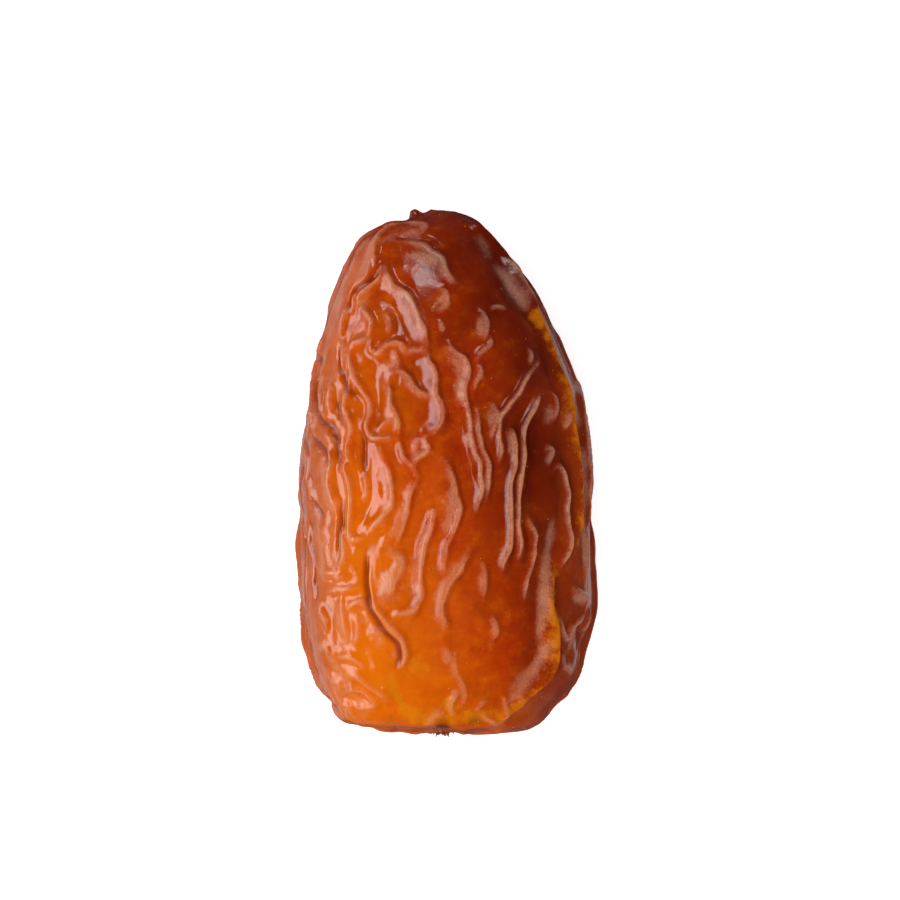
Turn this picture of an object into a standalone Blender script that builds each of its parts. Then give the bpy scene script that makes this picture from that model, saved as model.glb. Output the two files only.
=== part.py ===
"""A sagai date lying on its side, at its real size, in metres.

+Y runs from the stalk scar to the tip and +Z is up. The origin is on the surface that the date rests on,
under the middle of its bounding box. The fruit is one solid: a smooth body lofted through drawn rings, whose
skin is then raised into folds, and pressed into creases and hollows, along drawn lines.
"""

import math
import random

import bpy
import numpy as np
from mathutils.bvhtree import BVHTree

MM = 0.001

# Driving sizes
LENGTH = 40.0 * MM  # from the stalk end to the tip
THICKNESS_TO_WIDTH = 0.90  # a drying date sinks a little flat
SECTION_POWER = 2.4  # 2 is an ellipse, more is squarer
REST_PRESS = 0.30 * MM  # how far the underside is pressed flat where it lies
REST_MIDDLE = (0.0, -3.0 * MM)
REST_REACH = (4.5 * MM, 12.0 * MM)  # across and along, where lying has pressed the folds out
REST_DEPTH = 5.0 * MM

# The stalk end looks up a little, so that its scar shows from above.
STALK_RISE = 1.5 * MM
STALK_LEAN = 0.12
STALK_REACH = 0.30  # share of the rings that lean

# The small dry tip and the torn scar
TIP_HEIGHT = 0.62 * MM
TIP_SIZE = 0.34 * MM
SCAR_DEPTH = 0.55 * MM
SCAR_SIZE = 0.85 * MM
SCAR_LIP = 0.22 * MM
LIP_SIZE = 2.0 * SCAR_SIZE
CALM_SIZE = 1.4 * SCAR_SIZE  # no fold runs into the scar

# A fold is sharp along its crest and sinks in a long curve to the skin beside it.
CREST_ROUNDING = 0.07 * MM
BEAD_ROUNDING = 0.11 * MM
RULED_ROUNDING = 0.17 * MM  # the folds made by rule are softer
HOLLOW_ROUNDING = 0.45 * MM
FOLD_REACH = 1.6  # how many times its width a flank reaches
FLANK_SAG = 1.7
FOLD_FADE = 1.6 * MM  # a fold sinks over this length at each end,
FADE_SHARE = 0.4  # or over this share of a short one,
END_HEIGHT = 0.25  # to this share of its height
STEPS_ON_RINGS = 24
STEPS_ON_FOLDS = 5

# The mesh: a fine ball is shaped first, then thinned where the skin is smooth.
AROUND = 300
ALONG = 240
TRIANGLES = 10400

# The plan drawing: the date seen from straight above with its tip up. x runs to the right and y down.
PLAN_LENGTH = 527.0
PLAN_MIDDLE = (446.5, 472.5)
UNIT = LENGTH / PLAN_LENGTH

# Rings from the stalk end to the tip: where each one's left and right side lie on the plan.
RINGS = (
    ((443, 735), (443, 735)),
    ((400, 732), (508, 735)),
    ((344, 724), (537, 729)),
    ((329, 702), (551, 710)),
    ((317, 678), (572, 685)),
    ((308, 647), (581, 652)),
    ((304, 612), (591, 613)),
    ((303, 570), (590, 570)),
    ((302, 520), (590, 520)),
    ((301, 470), (591, 470)),
    ((306, 425), (584, 425)),
    ((316, 383), (570, 382)),
    ((324, 340), (553, 340)),
    ((336, 300), (535, 301)),
    ((349, 269), (511, 269)),
    ((363, 247), (490, 245)),
    ((386, 234), (474, 229)),
    ((411, 224), (456, 218)),
    ((430, 214), (430, 214)),
)
STALK_POINT = (442, 733)
TIP_POINT = (411, 213)

# Folds as seen from above: height, width of the left flank and of the right one, all in mm, and plan points.
TIP_FOLDS = (
    (0.40, 0.70, 0.25, ((402, 226), (388, 232), (380, 240), (375, 249), (374, 262), (376, 274))),
    (0.22, 0.30, 0.22, ((372, 260), (370, 272), (365, 288))),
    (0.18, 0.80, 0.30, ((400, 228), (414, 229), (425, 233), (420, 244))),
    (0.24, 0.90, 0.30, ((402, 251), (420, 253), (432, 261), (443, 269), (448, 284), (457, 294))),
    (0.26, 0.50, 0.25, ((441, 297), (446, 304), (447, 312), (442, 320), (440, 326))),
    (0.22, 0.40, 0.22, ((437, 331), (442, 335), (444, 342))),
    (0.30, 0.50, 0.30, ((481, 316), (485, 328), (486, 340), (482, 350))),
    (0.16, 0.25, 0.20, ((489, 319), (497, 316), (506, 317))),
    (0.28, 0.60, 0.40, ((502, 268), (514, 284), (528, 303), (540, 318))),
)
SHIELD_FOLDS = (
    (0.53, 0.30, 0.30, ((385, 278), (376, 289), (366, 298), (359, 306), (357, 318))),
    (0.60, 0.85, 0.22, ((385, 277), (390, 288), (400, 298), (409, 306), (416, 318), (421, 330), (426, 342),
                        (427, 358))),
    (0.39, 0.35, 0.22, ((361, 312), (366, 321), (371, 330), (370, 346))),
    (0.18, 0.50, 0.35, ((384, 320), (391, 332), (390, 345))),
    (0.53, 0.35, 0.35, ((349, 354), (359, 350), (369, 346))),
    (0.53, 0.40, 0.25, ((370, 346), (372, 357), (379, 362), (385, 357), (391, 352), (401, 353), (410, 362))),
    (0.46, 0.35, 0.25, ((409, 363), (414, 359), (420, 358), (427, 358))),
)
CELL_FOLDS = (
    (0.55, 0.30, 0.24, ((350, 354), (349, 368), (352, 379), (357, 389), (364, 400), (369, 409), (370, 422),
                        (369, 434), (372, 442), (384, 445), (400, 443))),
    (0.34, 0.65, 0.22, ((390, 358), (398, 364), (399, 378))),
    (0.53, 0.65, 0.22, ((390, 386), (391, 397), (392, 409), (396, 419), (399, 429), (400, 443))),
    (0.32, 0.40, 0.25, ((378, 437), (388, 430), (398, 424))),
    (0.51, 0.65, 0.22, ((390, 386), (396, 381), (402, 379), (408, 383), (413, 391), (419, 398), (428, 403),
                        (437, 405))),
    (0.60, 0.65, 0.22, ((427, 358), (429, 367), (434, 377), (436, 389), (437, 402), (441, 411), (443, 420),
                        (441, 429), (436, 435), (430, 439))),
    (0.53, 0.45, 0.24, ((430, 439), (426, 445), (430, 453), (425, 459), (418, 464), (414, 474))),
    (0.55, 0.35, 0.24, ((400, 443), (402, 452), (404, 461), (409, 468), (415, 475), (419, 482))),
    (0.53, 0.50, 0.22, ((419, 482), (414, 489), (411, 497), (409, 507), (408, 518), (404, 528), (400, 540),
                        (398, 548))),
    (0.25, 0.45, 0.25, ((416, 440), (418, 450), (415, 460))),
)
LOOP_FOLDS = (
    (0.53, 0.50, 0.22, ((352, 380), (350, 392), (348, 404), (347, 414), (350, 424), (352, 436), (349, 448),
                        (350, 460), (353, 469))),
    (0.53, 0.45, 0.22, ((345, 468), (349, 480), (352, 494), (353, 508), (352, 524), (351, 538), (356, 542),
                        (362, 541), (368, 537))),
    (0.53, 0.60, 0.22, ((368, 537), (378, 528), (388, 517), (394, 505), (394, 490), (391, 475), (386, 463))),
    (0.34, 0.45, 0.22, ((383, 548), (390, 542), (396, 533), (401, 522), (405, 508))),
    (0.28, 0.35, 0.25, ((366, 472), (368, 490), (366, 508))),
    (0.28, 0.50, 0.25, ((376, 452), (384, 462), (388, 474))),
)
MIDDLE_FOLDS = (
    (0.46, 0.45, 0.22, ((436, 512), (433, 523), (431, 533), (427, 542), (424, 551), (423, 562), (421, 572),
                        (421, 582), (423, 592), (421, 601), (417, 608), (408, 611), (399, 613), (393, 617))),
    (0.48, 0.60, 0.22, ((438, 463), (446, 468), (451, 476), (454, 486), (456, 497), (459, 508), (458, 517),
                        (455, 528), (451, 538), (446, 547), (445, 558), (444, 567), (448, 578))),
    (0.52, 0.80, 0.25, ((470, 551), (464, 562), (459, 571), (451, 581), (447, 591), (443, 600), (442, 611),
                        (445, 622), (444, 632))),
    (0.50, 0.45, 0.22, ((448, 350), (451, 358), (458, 363), (464, 367), (468, 375), (468, 384), (465, 392),
                        (464, 400), (465, 410), (469, 423), (470, 434), (472, 447), (475, 459), (479, 470),
                        (480, 483), (480, 494), (477, 504), (473, 518))),
    (0.26, 0.70, 0.22, ((455, 398), (462, 402), (466, 410))),
    (0.24, 0.60, 0.25, ((462, 440), (469, 448), (471, 455))),
    (0.32, 0.40, 0.22, ((489, 344), (490, 352), (484, 358), (478, 366), (476, 372))),
    (0.38, 0.45, 0.22, ((480, 372), (480, 382), (476, 389), (471, 401))),
    (0.42, 0.35, 0.22, ((476, 414), (477, 424), (477, 434), (479, 444), (481, 453), (485, 461), (488, 470),
                        (488, 480), (486, 492), (484, 504))),
    (0.36, 0.55, 0.25, ((487, 409), (494, 416), (495, 424), (492, 434), (489, 447))),
    (0.32, 0.55, 0.30, ((481, 562), (484, 574), (484, 586), (482, 600))),
    (0.26, 0.50, 0.30, ((488, 612), (493, 622), (494, 632), (490, 640))),
    (0.28, 0.60, 0.25, ((438, 642), (447, 647), (449, 654), (445, 662))),
)
LEFT_FOLDS = (
    (0.38, 0.40, 0.22, ((353, 316), (345, 322), (343, 333), (341, 346))),
    (0.30, 0.30, 0.20, ((357, 300), (354, 309), (353, 319))),
    (0.40, 0.50, 0.25, ((322, 340), (318, 355), (313, 375), (311, 395), (311, 412), (312, 430), (315, 444))),
    (0.38, 0.60, 0.20, ((344, 350), (345, 362), (344, 375), (340, 386))),
    (0.43, 0.60, 0.22, ((333, 388), (331, 404), (332, 418))),
    (0.35, 0.50, 0.22, ((322, 372), (321, 390), (322, 405), (323, 420))),
    (0.40, 0.60, 0.22, ((325, 440), (335, 447), (342, 456))),
    (0.40, 0.80, 0.22, ((327, 452), (331, 462), (333, 474), (332, 490), (337, 505), (347, 516))),
    (0.35, 0.50, 0.22, ((308, 480), (312, 494), (316, 508))),
    (0.43, 0.80, 0.22, ((338, 526), (344, 538), (347, 552), (345, 566), (340, 576))),
    (0.38, 0.35, 0.30, ((323, 574), (334, 575), (342, 579), (352, 580))),
    (0.43, 0.40, 0.30, ((328, 592), (340, 590), (352, 589), (362, 587))),
)
LOWER_LEFT_FOLDS = (
    (0.53, 1.30, 0.25, ((384, 558), (396, 557), (403, 563), (401, 574), (396, 585), (393, 600))),
    (0.51, 0.80, 0.25, ((376, 600), (379, 610), (385, 617), (392, 623), (399, 631), (405, 641), (407, 651),
                        (404, 660), (400, 668))),
    (0.34, 0.35, 0.20, ((320, 603), (324, 612), (328, 622), (330, 632))),
    (0.41, 0.55, 0.20, ((343, 600), (345, 615), (347, 628), (350, 642))),
    (0.39, 0.40, 0.30, ((349, 608), (357, 602), (366, 602), (372, 608), (377, 618))),
    (0.34, 0.60, 0.22, ((354, 618), (361, 622), (361, 633), (357, 644))),
    (0.34, 0.40, 0.30, ((369, 633), (379, 629), (390, 632))),
    (0.30, 0.45, 0.25, ((320, 648), (329, 649), (332, 658))),
    (0.34, 0.45, 0.30, ((338, 656), (352, 656), (363, 662), (361, 669))),
    (0.39, 0.45, 0.30, ((350, 675), (360, 676), (369, 685), (379, 691), (390, 695))),
    (0.30, 0.40, 0.25, ((331, 680), (341, 682), (343, 691))),
    (0.37, 0.45, 0.30, ((345, 693), (355, 689), (365, 691), (376, 702), (364, 706), (350, 703))),
    (0.32, 0.45, 0.25, ((341, 703), (351, 706), (352, 718))),
)
RIGHT_FOLDS = (
    (0.50, 0.25, 0.50, ((541, 366), (533, 374), (528, 381), (524, 389), (519, 399), (513, 406), (505, 415),
                        (499, 422), (497, 432), (498, 445), (499, 458), (498, 470))),
    (0.56, 0.28, 0.50, ((541, 397), (537, 405), (532, 415), (527, 425), (523, 436), (522, 448), (523, 460),
                        (522, 472), (519, 486), (517, 498), (516, 512), (516, 524), (517, 538), (518, 552),
                        (516, 562))),
    (0.62, 0.42, 0.40, ((509, 432), (513, 442), (514, 456), (513, 470), (510, 484), (508, 498), (508, 512),
                        (509, 526), (508, 540), (507, 552), (503, 563), (499, 573))),
    (0.62, 0.28, 0.50, ((552, 474), (558, 470), (561, 476), (564, 486), (567, 498), (566, 512), (567, 524),
                        (569, 536), (569, 546), (566, 556), (562, 565), (559, 573))),
    (0.42, 0.28, 0.40, ((527, 520), (530, 528), (533, 537), (532, 548), (533, 556), (530, 566), (526, 577),
                        (524, 588), (522, 602))),
    (0.36, 0.45, 0.30, ((549, 398), (554, 406), (555, 416), (552, 428))),
    (0.28, 0.35, 0.25, ((561, 418), (563, 428), (560, 437))),
    (0.32, 0.40, 0.30, ((543, 450), (550, 455), (547, 464), (544, 470))),
    (0.26, 0.40, 0.30, ((526, 356), (530, 362), (527, 372))),
    (0.45, 0.22, 0.80, ((517, 262), (526, 276), (539, 296), (550, 312), (556, 324), (561, 338), (571, 361),
                        (578, 385), (582, 410), (585, 440), (588, 465), (590, 480), (589, 500), (590, 530))),
    (0.35, 0.30, 0.30, ((587, 530), (586, 545), (586, 558), (585, 572), (584, 586))),
)
POUCH_FOLDS = (
    (0.50, 0.45, 0.35, ((571, 588), (578, 594), (584, 600), (590, 604))),
    (0.45, 0.40, 0.35, ((556, 612), (560, 624), (563, 634), (567, 641), (571, 633), (575, 626), (581, 622),
                        (586, 614))),
    (0.35, 0.50, 0.30, ((590, 612), (588, 626), (586, 640))),
    (0.30, 0.50, 0.30, ((561, 652), (563, 664), (568, 670), (574, 676))),
)
STALK_END_FOLDS = (
    (0.38, 0.50, 0.25, ((460, 684), (456, 692), (451, 699), (452, 708), (458, 714))),
    (0.36, 0.30, 0.25, ((501, 694), (504, 702), (505, 709), (500, 716))),
    (0.20, 0.40, 0.30, ((484, 697), (480, 703), (476, 708))),
    (0.26, 0.40, 0.30, ((447, 706), (438, 710), (430, 717), (424, 724))),
    (0.22, 0.30, 0.30, ((480, 711), (489, 717), (497, 722))),
    (0.16, 0.50, 0.50, ((455, 645), (453, 662), (459, 676), (464, 692), (462, 702))),
)
# Two broad soft folds run down the right side and round the stalk end.
BEADS = (
    (0.75, 0.70, 0.55, ((470, 222), (492, 243), (508, 262), (522, 286), (540, 313), (553, 342), (562, 372),
                        (570, 405), (574, 440), (579, 475), (580, 505), (580, 545))),
    (0.85, 0.75, 0.28, ((556, 568), (553, 585), (552, 600), (554, 615), (557, 630), (558, 645), (557, 660),
                        (554, 672), (547, 682), (537, 690), (527, 698), (515, 706))),
    (0.42, 0.60, 0.35, ((530, 696), (515, 707), (500, 715), (488, 720))),
)
# Creases are drawn in the same way, and pressed in.
CREASES = (
    (0.40, 0.25, 0.20, ((513, 262), (520, 278), (533, 297), (545, 312), (552, 328), (560, 345), (569, 368),
                        (574, 395), (577, 420), (580, 445), (583, 466), (584, 490), (584, 520), (584, 548))),
    (0.24, 0.36, 0.30, ((396, 249), (411, 249), (428, 252), (438, 256))),
    (0.34, 0.22, 0.22, ((356, 254), (355, 268), (352, 284))),
    (0.34, 0.22, 0.22, ((384, 278), (375, 287), (366, 295), (359, 302), (356, 312), (355, 320))),
    (0.38, 0.22, 0.22, ((347, 350), (346, 364), (348, 378), (352, 388), (356, 398), (364, 408))),
    (0.42, 0.24, 0.24, ((325, 362), (328, 370), (326, 382), (324, 394), (324, 408), (326, 420), (331, 429),
                        (339, 434), (343, 446), (345, 458), (349, 468))),
    (0.36, 0.22, 0.22, ((343, 408), (345, 418), (347, 428))),
    (0.36, 0.22, 0.22, ((311, 428), (311, 443), (314, 454), (316, 465), (314, 483), (317, 495), (323, 510),
                        (332, 520))),
    (0.36, 0.22, 0.22, ((318, 434), (320, 443), (326, 450), (332, 456), (336, 464), (339, 470))),
    (0.34, 0.22, 0.22, ((306, 465), (309, 475), (307, 492), (309, 510), (312, 518))),
    (0.38, 0.22, 0.22, ((301, 500), (306, 533), (311, 550), (314, 575), (314, 600), (312, 622), (315, 648),
                        (320, 668), (327, 686), (336, 704), (345, 709))),
    (0.36, 0.22, 0.22, ((319, 525), (318, 545), (323, 570), (322, 585), (325, 600))),
    (0.38, 0.22, 0.22, ((367, 436), (367, 452), (368, 466), (371, 478))),
    (0.38, 0.22, 0.22, ((349, 506), (349, 522), (347, 538), (346, 550), (348, 562))),
    (0.42, 0.20, 0.20, ((371, 556), (370, 573), (372, 590), (375, 606), (380, 618), (388, 628), (396, 635),
                        (401, 641), (402, 650), (400, 662))),
    (0.30, 0.25, 0.25, ((572, 628), (577, 640), (572, 652))),
)
# Hollows are broad and have a soft bottom.
HOLLOWS = (
    (0.38, 1.20, 0.90, ((390, 298), (397, 316), (404, 334), (408, 350))),
    (0.40, 1.00, 0.50, ((378, 370), (378, 390), (379, 410), (377, 432))),
    (0.30, 0.50, 0.60, ((402, 366), (410, 378), (418, 390), (422, 398))),
    (0.40, 1.00, 0.60, ((414, 406), (424, 420), (418, 438), (411, 457))),
    (0.34, 0.70, 0.70, ((362, 470), (368, 490), (368, 512), (362, 528))),
    (0.28, 0.80, 0.30, ((362, 432), (363, 450), (366, 466))),
    (0.30, 0.90, 0.60, ((428, 478), (424, 500), (416, 526), (410, 556), (408, 580))),
    (0.34, 0.80, 0.50, ((452, 408), (458, 432), (462, 462), (468, 492))),
    (0.45, 1.30, 0.60, ((550, 520), (543, 560), (538, 600), (536, 640), (528, 668), (512, 688))),
    (0.40, 1.00, 0.50, ((534, 420), (532, 450), (528, 490), (526, 520))),
    (0.40, 1.00, 0.60, ((502, 290), (514, 308), (530, 330), (542, 360), (550, 390))),
    (0.35, 0.90, 0.50, ((572, 628), (576, 642), (573, 656))),
)

# Folds of the sides and the underside, which no drawing shows: they wander lengthwise by rule.
HIDDEN_SEED = 27
HIDDEN_FOLDS = 84
HIDDEN_HEIGHT = (0.26, 0.46)
HIDDEN_WIDTH = (0.34, 0.52)
STEEPER = 0.6  # width of a hidden fold's right flank to its left one
HIDDEN_START = (0.06, 0.80)  # share of the body's length where a hidden fold begins
HIDDEN_END = 0.93  # and where it ends at the latest
HIDDEN_ANGLES = (-1.02 * math.pi, 0.02 * math.pi)  # round the body, all below its sides
HIDDEN_POINTS = (9, 24)
STEP_ALONG = 0.016
STEP_AROUND = 0.10
FIRST_HEADING = 0.25
HEADING_KEPT = 0.7
HEADING_CHANGE = 0.45

# Short pleats by rule, which gather towards the scar and towards the tip.
PLEATS = 13
PLEAT_HEIGHT = (0.16, 0.34)
PLEAT_WIDTH = (0.34, 0.50)
PLEAT_ENDS = ((0.022, 0.115, 1.0), (0.955, 0.895, 0.5))  # from, to and share of the height, at each end
PLEAT_POINTS = 6
PLEAT_STRAY = 0.3
PLEAT_SHORTEST = 0.6
PLEAT_TURN = 0.25

SKIN_COLOUR = (0.42, 0.10, 0.012, 1.0)
SKIN_ROUGHNESS = 0.32


def remove_everything():
    """Empty the scene that the file starts with."""
    for thing in list(bpy.data.objects):
        bpy.data.objects.remove(thing)


def smooth_line(points, steps):
    """A curve through the points, with this many pieces between each two of them."""
    points = np.asarray(points, dtype=float)
    before = np.vstack([2.0 * points[0] - points[1], points[:-1]])
    after = np.vstack([points[1:], 2.0 * points[-1] - points[-2]])
    line = []
    for i in range(len(points) - 1):
        start, end = points[i], points[i + 1]
        leave, arrive = (after[i] - before[i]) / 2.0, (after[i + 1] - before[i + 1]) / 2.0
        for s in np.arange(steps) / steps:
            near = (1.0 + 2.0 * s) * (1.0 - s) ** 2 * start + s * (1.0 - s) ** 2 * leave
            far = s * s * (3.0 - 2.0 * s) * end + s * s * (s - 1.0) * arrive
            line.append(near + far)
    return np.vstack([line, points[-1:]])


def on_plan(points):
    """Plan positions in metres, seen from above."""
    points = np.asarray(points, dtype=float)
    x = (points[:, 0] - PLAN_MIDDLE[0]) * UNIT
    y = (PLAN_MIDDLE[1] - points[:, 1]) * UNIT
    return np.column_stack([x, y])


def rings(steps):
    """The left and the right ends of many rings between the drawn ones."""
    left = smooth_line(on_plan([ring[0] for ring in RINGS]), steps)
    right = smooth_line(on_plan([ring[1] for ring in RINGS]), steps)
    return left, right


def body_points(along, angle):
    """Points of the smooth body: along runs from 0 at the stalk end to 1 at the tip, angle goes round it."""
    left, right = rings(STEPS_ON_RINGS)
    place = np.linspace(0.0, 1.0, len(left))
    middle = [np.interp(along, place, (left + right)[:, i] / 2.0) for i in (0, 1)]
    reach = [np.interp(along, place, (right - left)[:, i] / 2.0) for i in (0, 1)]
    power = 2.0 / SECTION_POWER
    across = np.sign(np.cos(angle)) * np.abs(np.cos(angle)) ** power
    upward = np.sign(np.sin(angle)) * np.abs(np.sin(angle)) ** power
    z = np.hypot(reach[0], reach[1]) * THICKNESS_TO_WIDTH * upward
    near_stalk = np.clip(1.0 - along / STALK_REACH, 0.0, 1.0) ** 2
    x = middle[0] + reach[0] * across
    y = middle[1] + reach[1] * across + STALK_LEAN * z * near_stalk
    return np.column_stack([x, y, z + STALK_RISE * near_stalk])


def ball(name):
    """A closed ball of fine quads, with where each of its points goes on the body."""
    bpy.ops.mesh.primitive_uv_sphere_add(segments=AROUND, ring_count=ALONG, radius=1.0)
    date = bpy.context.object
    date.name = name
    spots = np.empty(len(date.data.vertices) * 3)
    date.data.vertices.foreach_get("co", spots)
    x, y, z = spots.reshape(-1, 3).T
    along = 0.5 + np.arcsin(np.clip(z, -1.0, 1.0)) / math.pi
    return date, along, np.arctan2(-y, x)


def place_points(date, points):
    """Move the points of the mesh."""
    date.data.vertices.foreach_set("co", points.ravel())
    date.data.update()


def outward(date):
    """The outward direction at each point of the mesh."""
    ways = np.empty(len(date.data.vertices) * 3)
    date.data.vertices.foreach_get("normal", ways)
    return ways.reshape(-1, 3)


def under(tree, x, y):
    """The place of the upper side below a point of the plan, and the outward direction there."""
    spot, way = tree.ray_cast((x, y, LENGTH), (0.0, 0.0, -1.0))[:2]
    return (spot, way) if spot else tree.find_nearest((x, y, 0.0))[:2]


def seen_lines(folds, tree, sign=1.0):
    """The drawn lines, laid on the body so that a ridge as high as this shows where its line was drawn."""
    laid = []
    for height, left, right, points in folds:
        rise = sign * height * MM
        line = []
        for x, y in smooth_line(on_plan(points), STEPS_ON_FOLDS):
            way = under(tree, x, y)[1]
            line.append(under(tree, x - rise * way.x, y - rise * way.y)[0])
        laid.append((height * MM, left * MM, right * MM, np.array(line)))
    return laid


def hidden_lines():
    """Folds by rule: each starts somewhere below the sides and wanders towards the tip."""
    rng = random.Random(HIDDEN_SEED)
    laid = []
    for _ in range(HIDDEN_FOLDS):
        along = rng.uniform(*HIDDEN_START)
        angle = -math.pi * rng.uniform(0.0, 1.0)
        heading = rng.uniform(-FIRST_HEADING, FIRST_HEADING)
        steps = rng.randint(*HIDDEN_POINTS)
        trail = []
        for _ in range(steps):
            trail.append((along, angle))
            heading = HEADING_KEPT * heading + rng.uniform(-HEADING_CHANGE, HEADING_CHANGE)
            along = min(along + STEP_ALONG, HIDDEN_END)
            angle = min(max(angle + STEP_AROUND * heading, HIDDEN_ANGLES[0]), HIDDEN_ANGLES[1])
        trail = np.array(trail)
        line = body_points(trail[:, 0], trail[:, 1])
        width = rng.uniform(*HIDDEN_WIDTH) * MM
        laid.append((rng.uniform(*HIDDEN_HEIGHT) * MM, width, STEEPER * width, line))
    return laid


def pleat_lines():
    """Pleats by rule round both ends of the fruit."""
    rng = random.Random(HIDDEN_SEED)
    laid = []
    for start, end, share in PLEAT_ENDS:
        for i in range(PLEATS):
            angle = 2.0 * math.pi * (i + rng.uniform(-PLEAT_STRAY, PLEAT_STRAY)) / PLEATS
            along = np.linspace(start, start + (end - start) * rng.uniform(PLEAT_SHORTEST, 1.0), PLEAT_POINTS)
            turn = angle + rng.uniform(-PLEAT_TURN, PLEAT_TURN) * np.linspace(0.0, 1.0, PLEAT_POINTS)
            width = rng.uniform(*PLEAT_WIDTH) * MM
            laid.append((share * rng.uniform(*PLEAT_HEIGHT) * MM, width, width, body_points(along, turn)))
    return laid


def nearness(points, line, reach):
    """The points near a line: which they are, how far off, how far along it, and how much on its right."""
    box = np.all((points > line.min(axis=0) - reach) & (points < line.max(axis=0) + reach), axis=1)
    chosen = np.flatnonzero(box)
    points = points[chosen]
    gap = np.full(len(points), reach * 2.0)
    run = np.zeros(len(points))
    right = np.zeros(len(points))
    walked = 0.0
    for start, end in zip(line[:-1], line[1:]):
        way = end - start
        length = float(np.linalg.norm(way))
        if length < 1e-9:
            continue
        share = np.clip((points - start) @ way / length ** 2, 0.0, 1.0)
        offset = points - start - share[:, None] * way
        apart = np.linalg.norm(offset, axis=1)
        closer = apart < gap
        gap[closer] = apart[closer]
        run[closer] = walked + share[closer] * length
        right[closer] = offset[closer, 0] / (apart[closer] + 1e-6)
        walked += length
    return chosen, gap, run, right, walked


def crests(points, lines, rounding):
    """Heights of all the folds together: where two meet, the higher one leads."""
    total = np.zeros(len(points))
    for height, left, right, line in lines:
        reach = FOLD_REACH * max(left, right)
        chosen, gap, run, side, length = nearness(points, line, reach)
        fade = min(FOLD_FADE, FADE_SHARE * length)
        ends = np.clip(np.minimum(run, length - run) / fade, 0.0, 1.0)
        ends = END_HEIGHT + (1.0 - END_HEIGHT) * ends * (2.0 - ends)
        flank = (left + right) / 2.0 + (right - left) / 2.0 * side
        apart = (np.hypot(gap, rounding) - rounding) / (FOLD_REACH * flank)
        profile = np.clip(1.0 - apart, 0.0, 1.0) ** FLANK_SAG
        total[chosen] += (height * profile * ends) ** 3
    return np.cbrt(total)


def bump(points, centre, size):
    """A soft round bump, 1 at its centre."""
    return np.exp(-np.sum((points - centre) ** 2, axis=1) / size ** 2)


def folded(points, tree):
    """How far the folds raise the skin, and the creases and hollows press it in."""
    drawn = (TIP_FOLDS + SHIELD_FOLDS + CELL_FOLDS + LOOP_FOLDS + MIDDLE_FOLDS + LEFT_FOLDS + LOWER_LEFT_FOLDS
             + RIGHT_FOLDS + POUCH_FOLDS + STALK_END_FOLDS)
    sharp = crests(points, seen_lines(drawn, tree), CREST_ROUNDING)
    soft = crests(points, hidden_lines() + pleat_lines(), RULED_ROUNDING)
    raised = np.cbrt(sharp ** 3 + soft ** 3) + crests(points, seen_lines(BEADS, tree), BEAD_ROUNDING)
    pressed = crests(points, seen_lines(CREASES, tree, -1.0), CREST_ROUNDING)
    pressed += crests(points, seen_lines(HOLLOWS, tree, -1.0), HOLLOW_ROUNDING)
    return raised - pressed


def unpressed(points):
    """0 in the middle of the underside, where lying has pressed the folds out, and 1 away from it."""
    across, along = ((points[:, i] - REST_MIDDLE[i]) / REST_REACH[i] for i in (0, 1))
    return 1.0 - np.exp(-across ** 2 - along ** 2) * np.clip(-points[:, 2] / REST_DEPTH, 0.0, 1.0)


def relief(points, tree):
    """How far the skin stands out from the smooth body."""
    tip, stalk = (np.array(tree.find_nearest((*on_plan([spot])[0], rise))[0])
                  for spot, rise in ((TIP_POINT, 0.0), (STALK_POINT, STALK_RISE)))
    calm = (1.0 - bump(points, stalk, CALM_SIZE)) * unpressed(points)
    tip_bump = TIP_HEIGHT * (1.0 - (1.0 - bump(points, tip, TIP_SIZE)) ** 3)
    scar = SCAR_LIP * bump(points, stalk, LIP_SIZE) - SCAR_DEPTH * bump(points, stalk, SCAR_SIZE)
    return folded(points, tree) * calm + tip_bump + scar


def press_flat(points):
    """Press the underside flat where the date rests, and set its place over the origin."""
    floor = points[:, 2].min() + REST_PRESS
    points[:, 2] = np.maximum(points[:, 2], floor)
    middle = (points.min(axis=0) + points.max(axis=0)) / 2.0
    return points - (middle[0], middle[1], floor)


def thin_out(date):
    """Fewer triangles where the skin is smooth."""
    split = date.modifiers.new("Triangles", "TRIANGULATE")
    split.quad_method = "SHORTEST_DIAGONAL"
    thin = date.modifiers.new("Thin out", "DECIMATE")
    thin.ratio = TRIANGLES / (2.0 * AROUND * (ALONG - 1))


def skin_material():
    """Glossy orange-brown skin."""
    skin = bpy.data.materials.new("date skin")
    skin.use_nodes = True
    shader = skin.node_tree.nodes["Principled BSDF"]
    shader.inputs["Base Color"].default_value = SKIN_COLOUR
    shader.inputs["Roughness"].default_value = SKIN_ROUGHNESS
    return skin


def build_date():
    """The whole fruit."""
    date, along, angle = ball("date")
    points = body_points(along, angle)
    place_points(date, points)
    tree = BVHTree.FromObject(date, bpy.context.evaluated_depsgraph_get())
    out = relief(points, tree)
    points = press_flat(points + outward(date) * out[:, None])
    place_points(date, points)
    thin_out(date)
    date.data.materials.append(skin_material())
    return date


def main():
    remove_everything()
    collection = bpy.data.collections.new("sagai date")
    bpy.context.scene.collection.children.link(collection)
    date = build_date()
    for owner in list(date.users_collection):
        owner.objects.unlink(date)
    collection.objects.link(date)


main()
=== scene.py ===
# %% [markdown]
# # A sagai date
# A sagai date is a small dried fruit, about as long as a thumb joint. Its skin is thin, glossy and a little
# see-through. As the flesh loses water, the skin becomes too large for it and folds into long ridges with
# soft hollows between them. One end keeps a torn scar where the stalk was, and the other has a small dry tip.
#
# This file dresses the plain solid that the frame holds. It shapes a much finer mesh by the same drawing,
# gives it a skin, adds the smallest pieces, and sets up a table, lights and a camera that looks straight
# down.

# %% Load the frame
import math
import random

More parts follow.
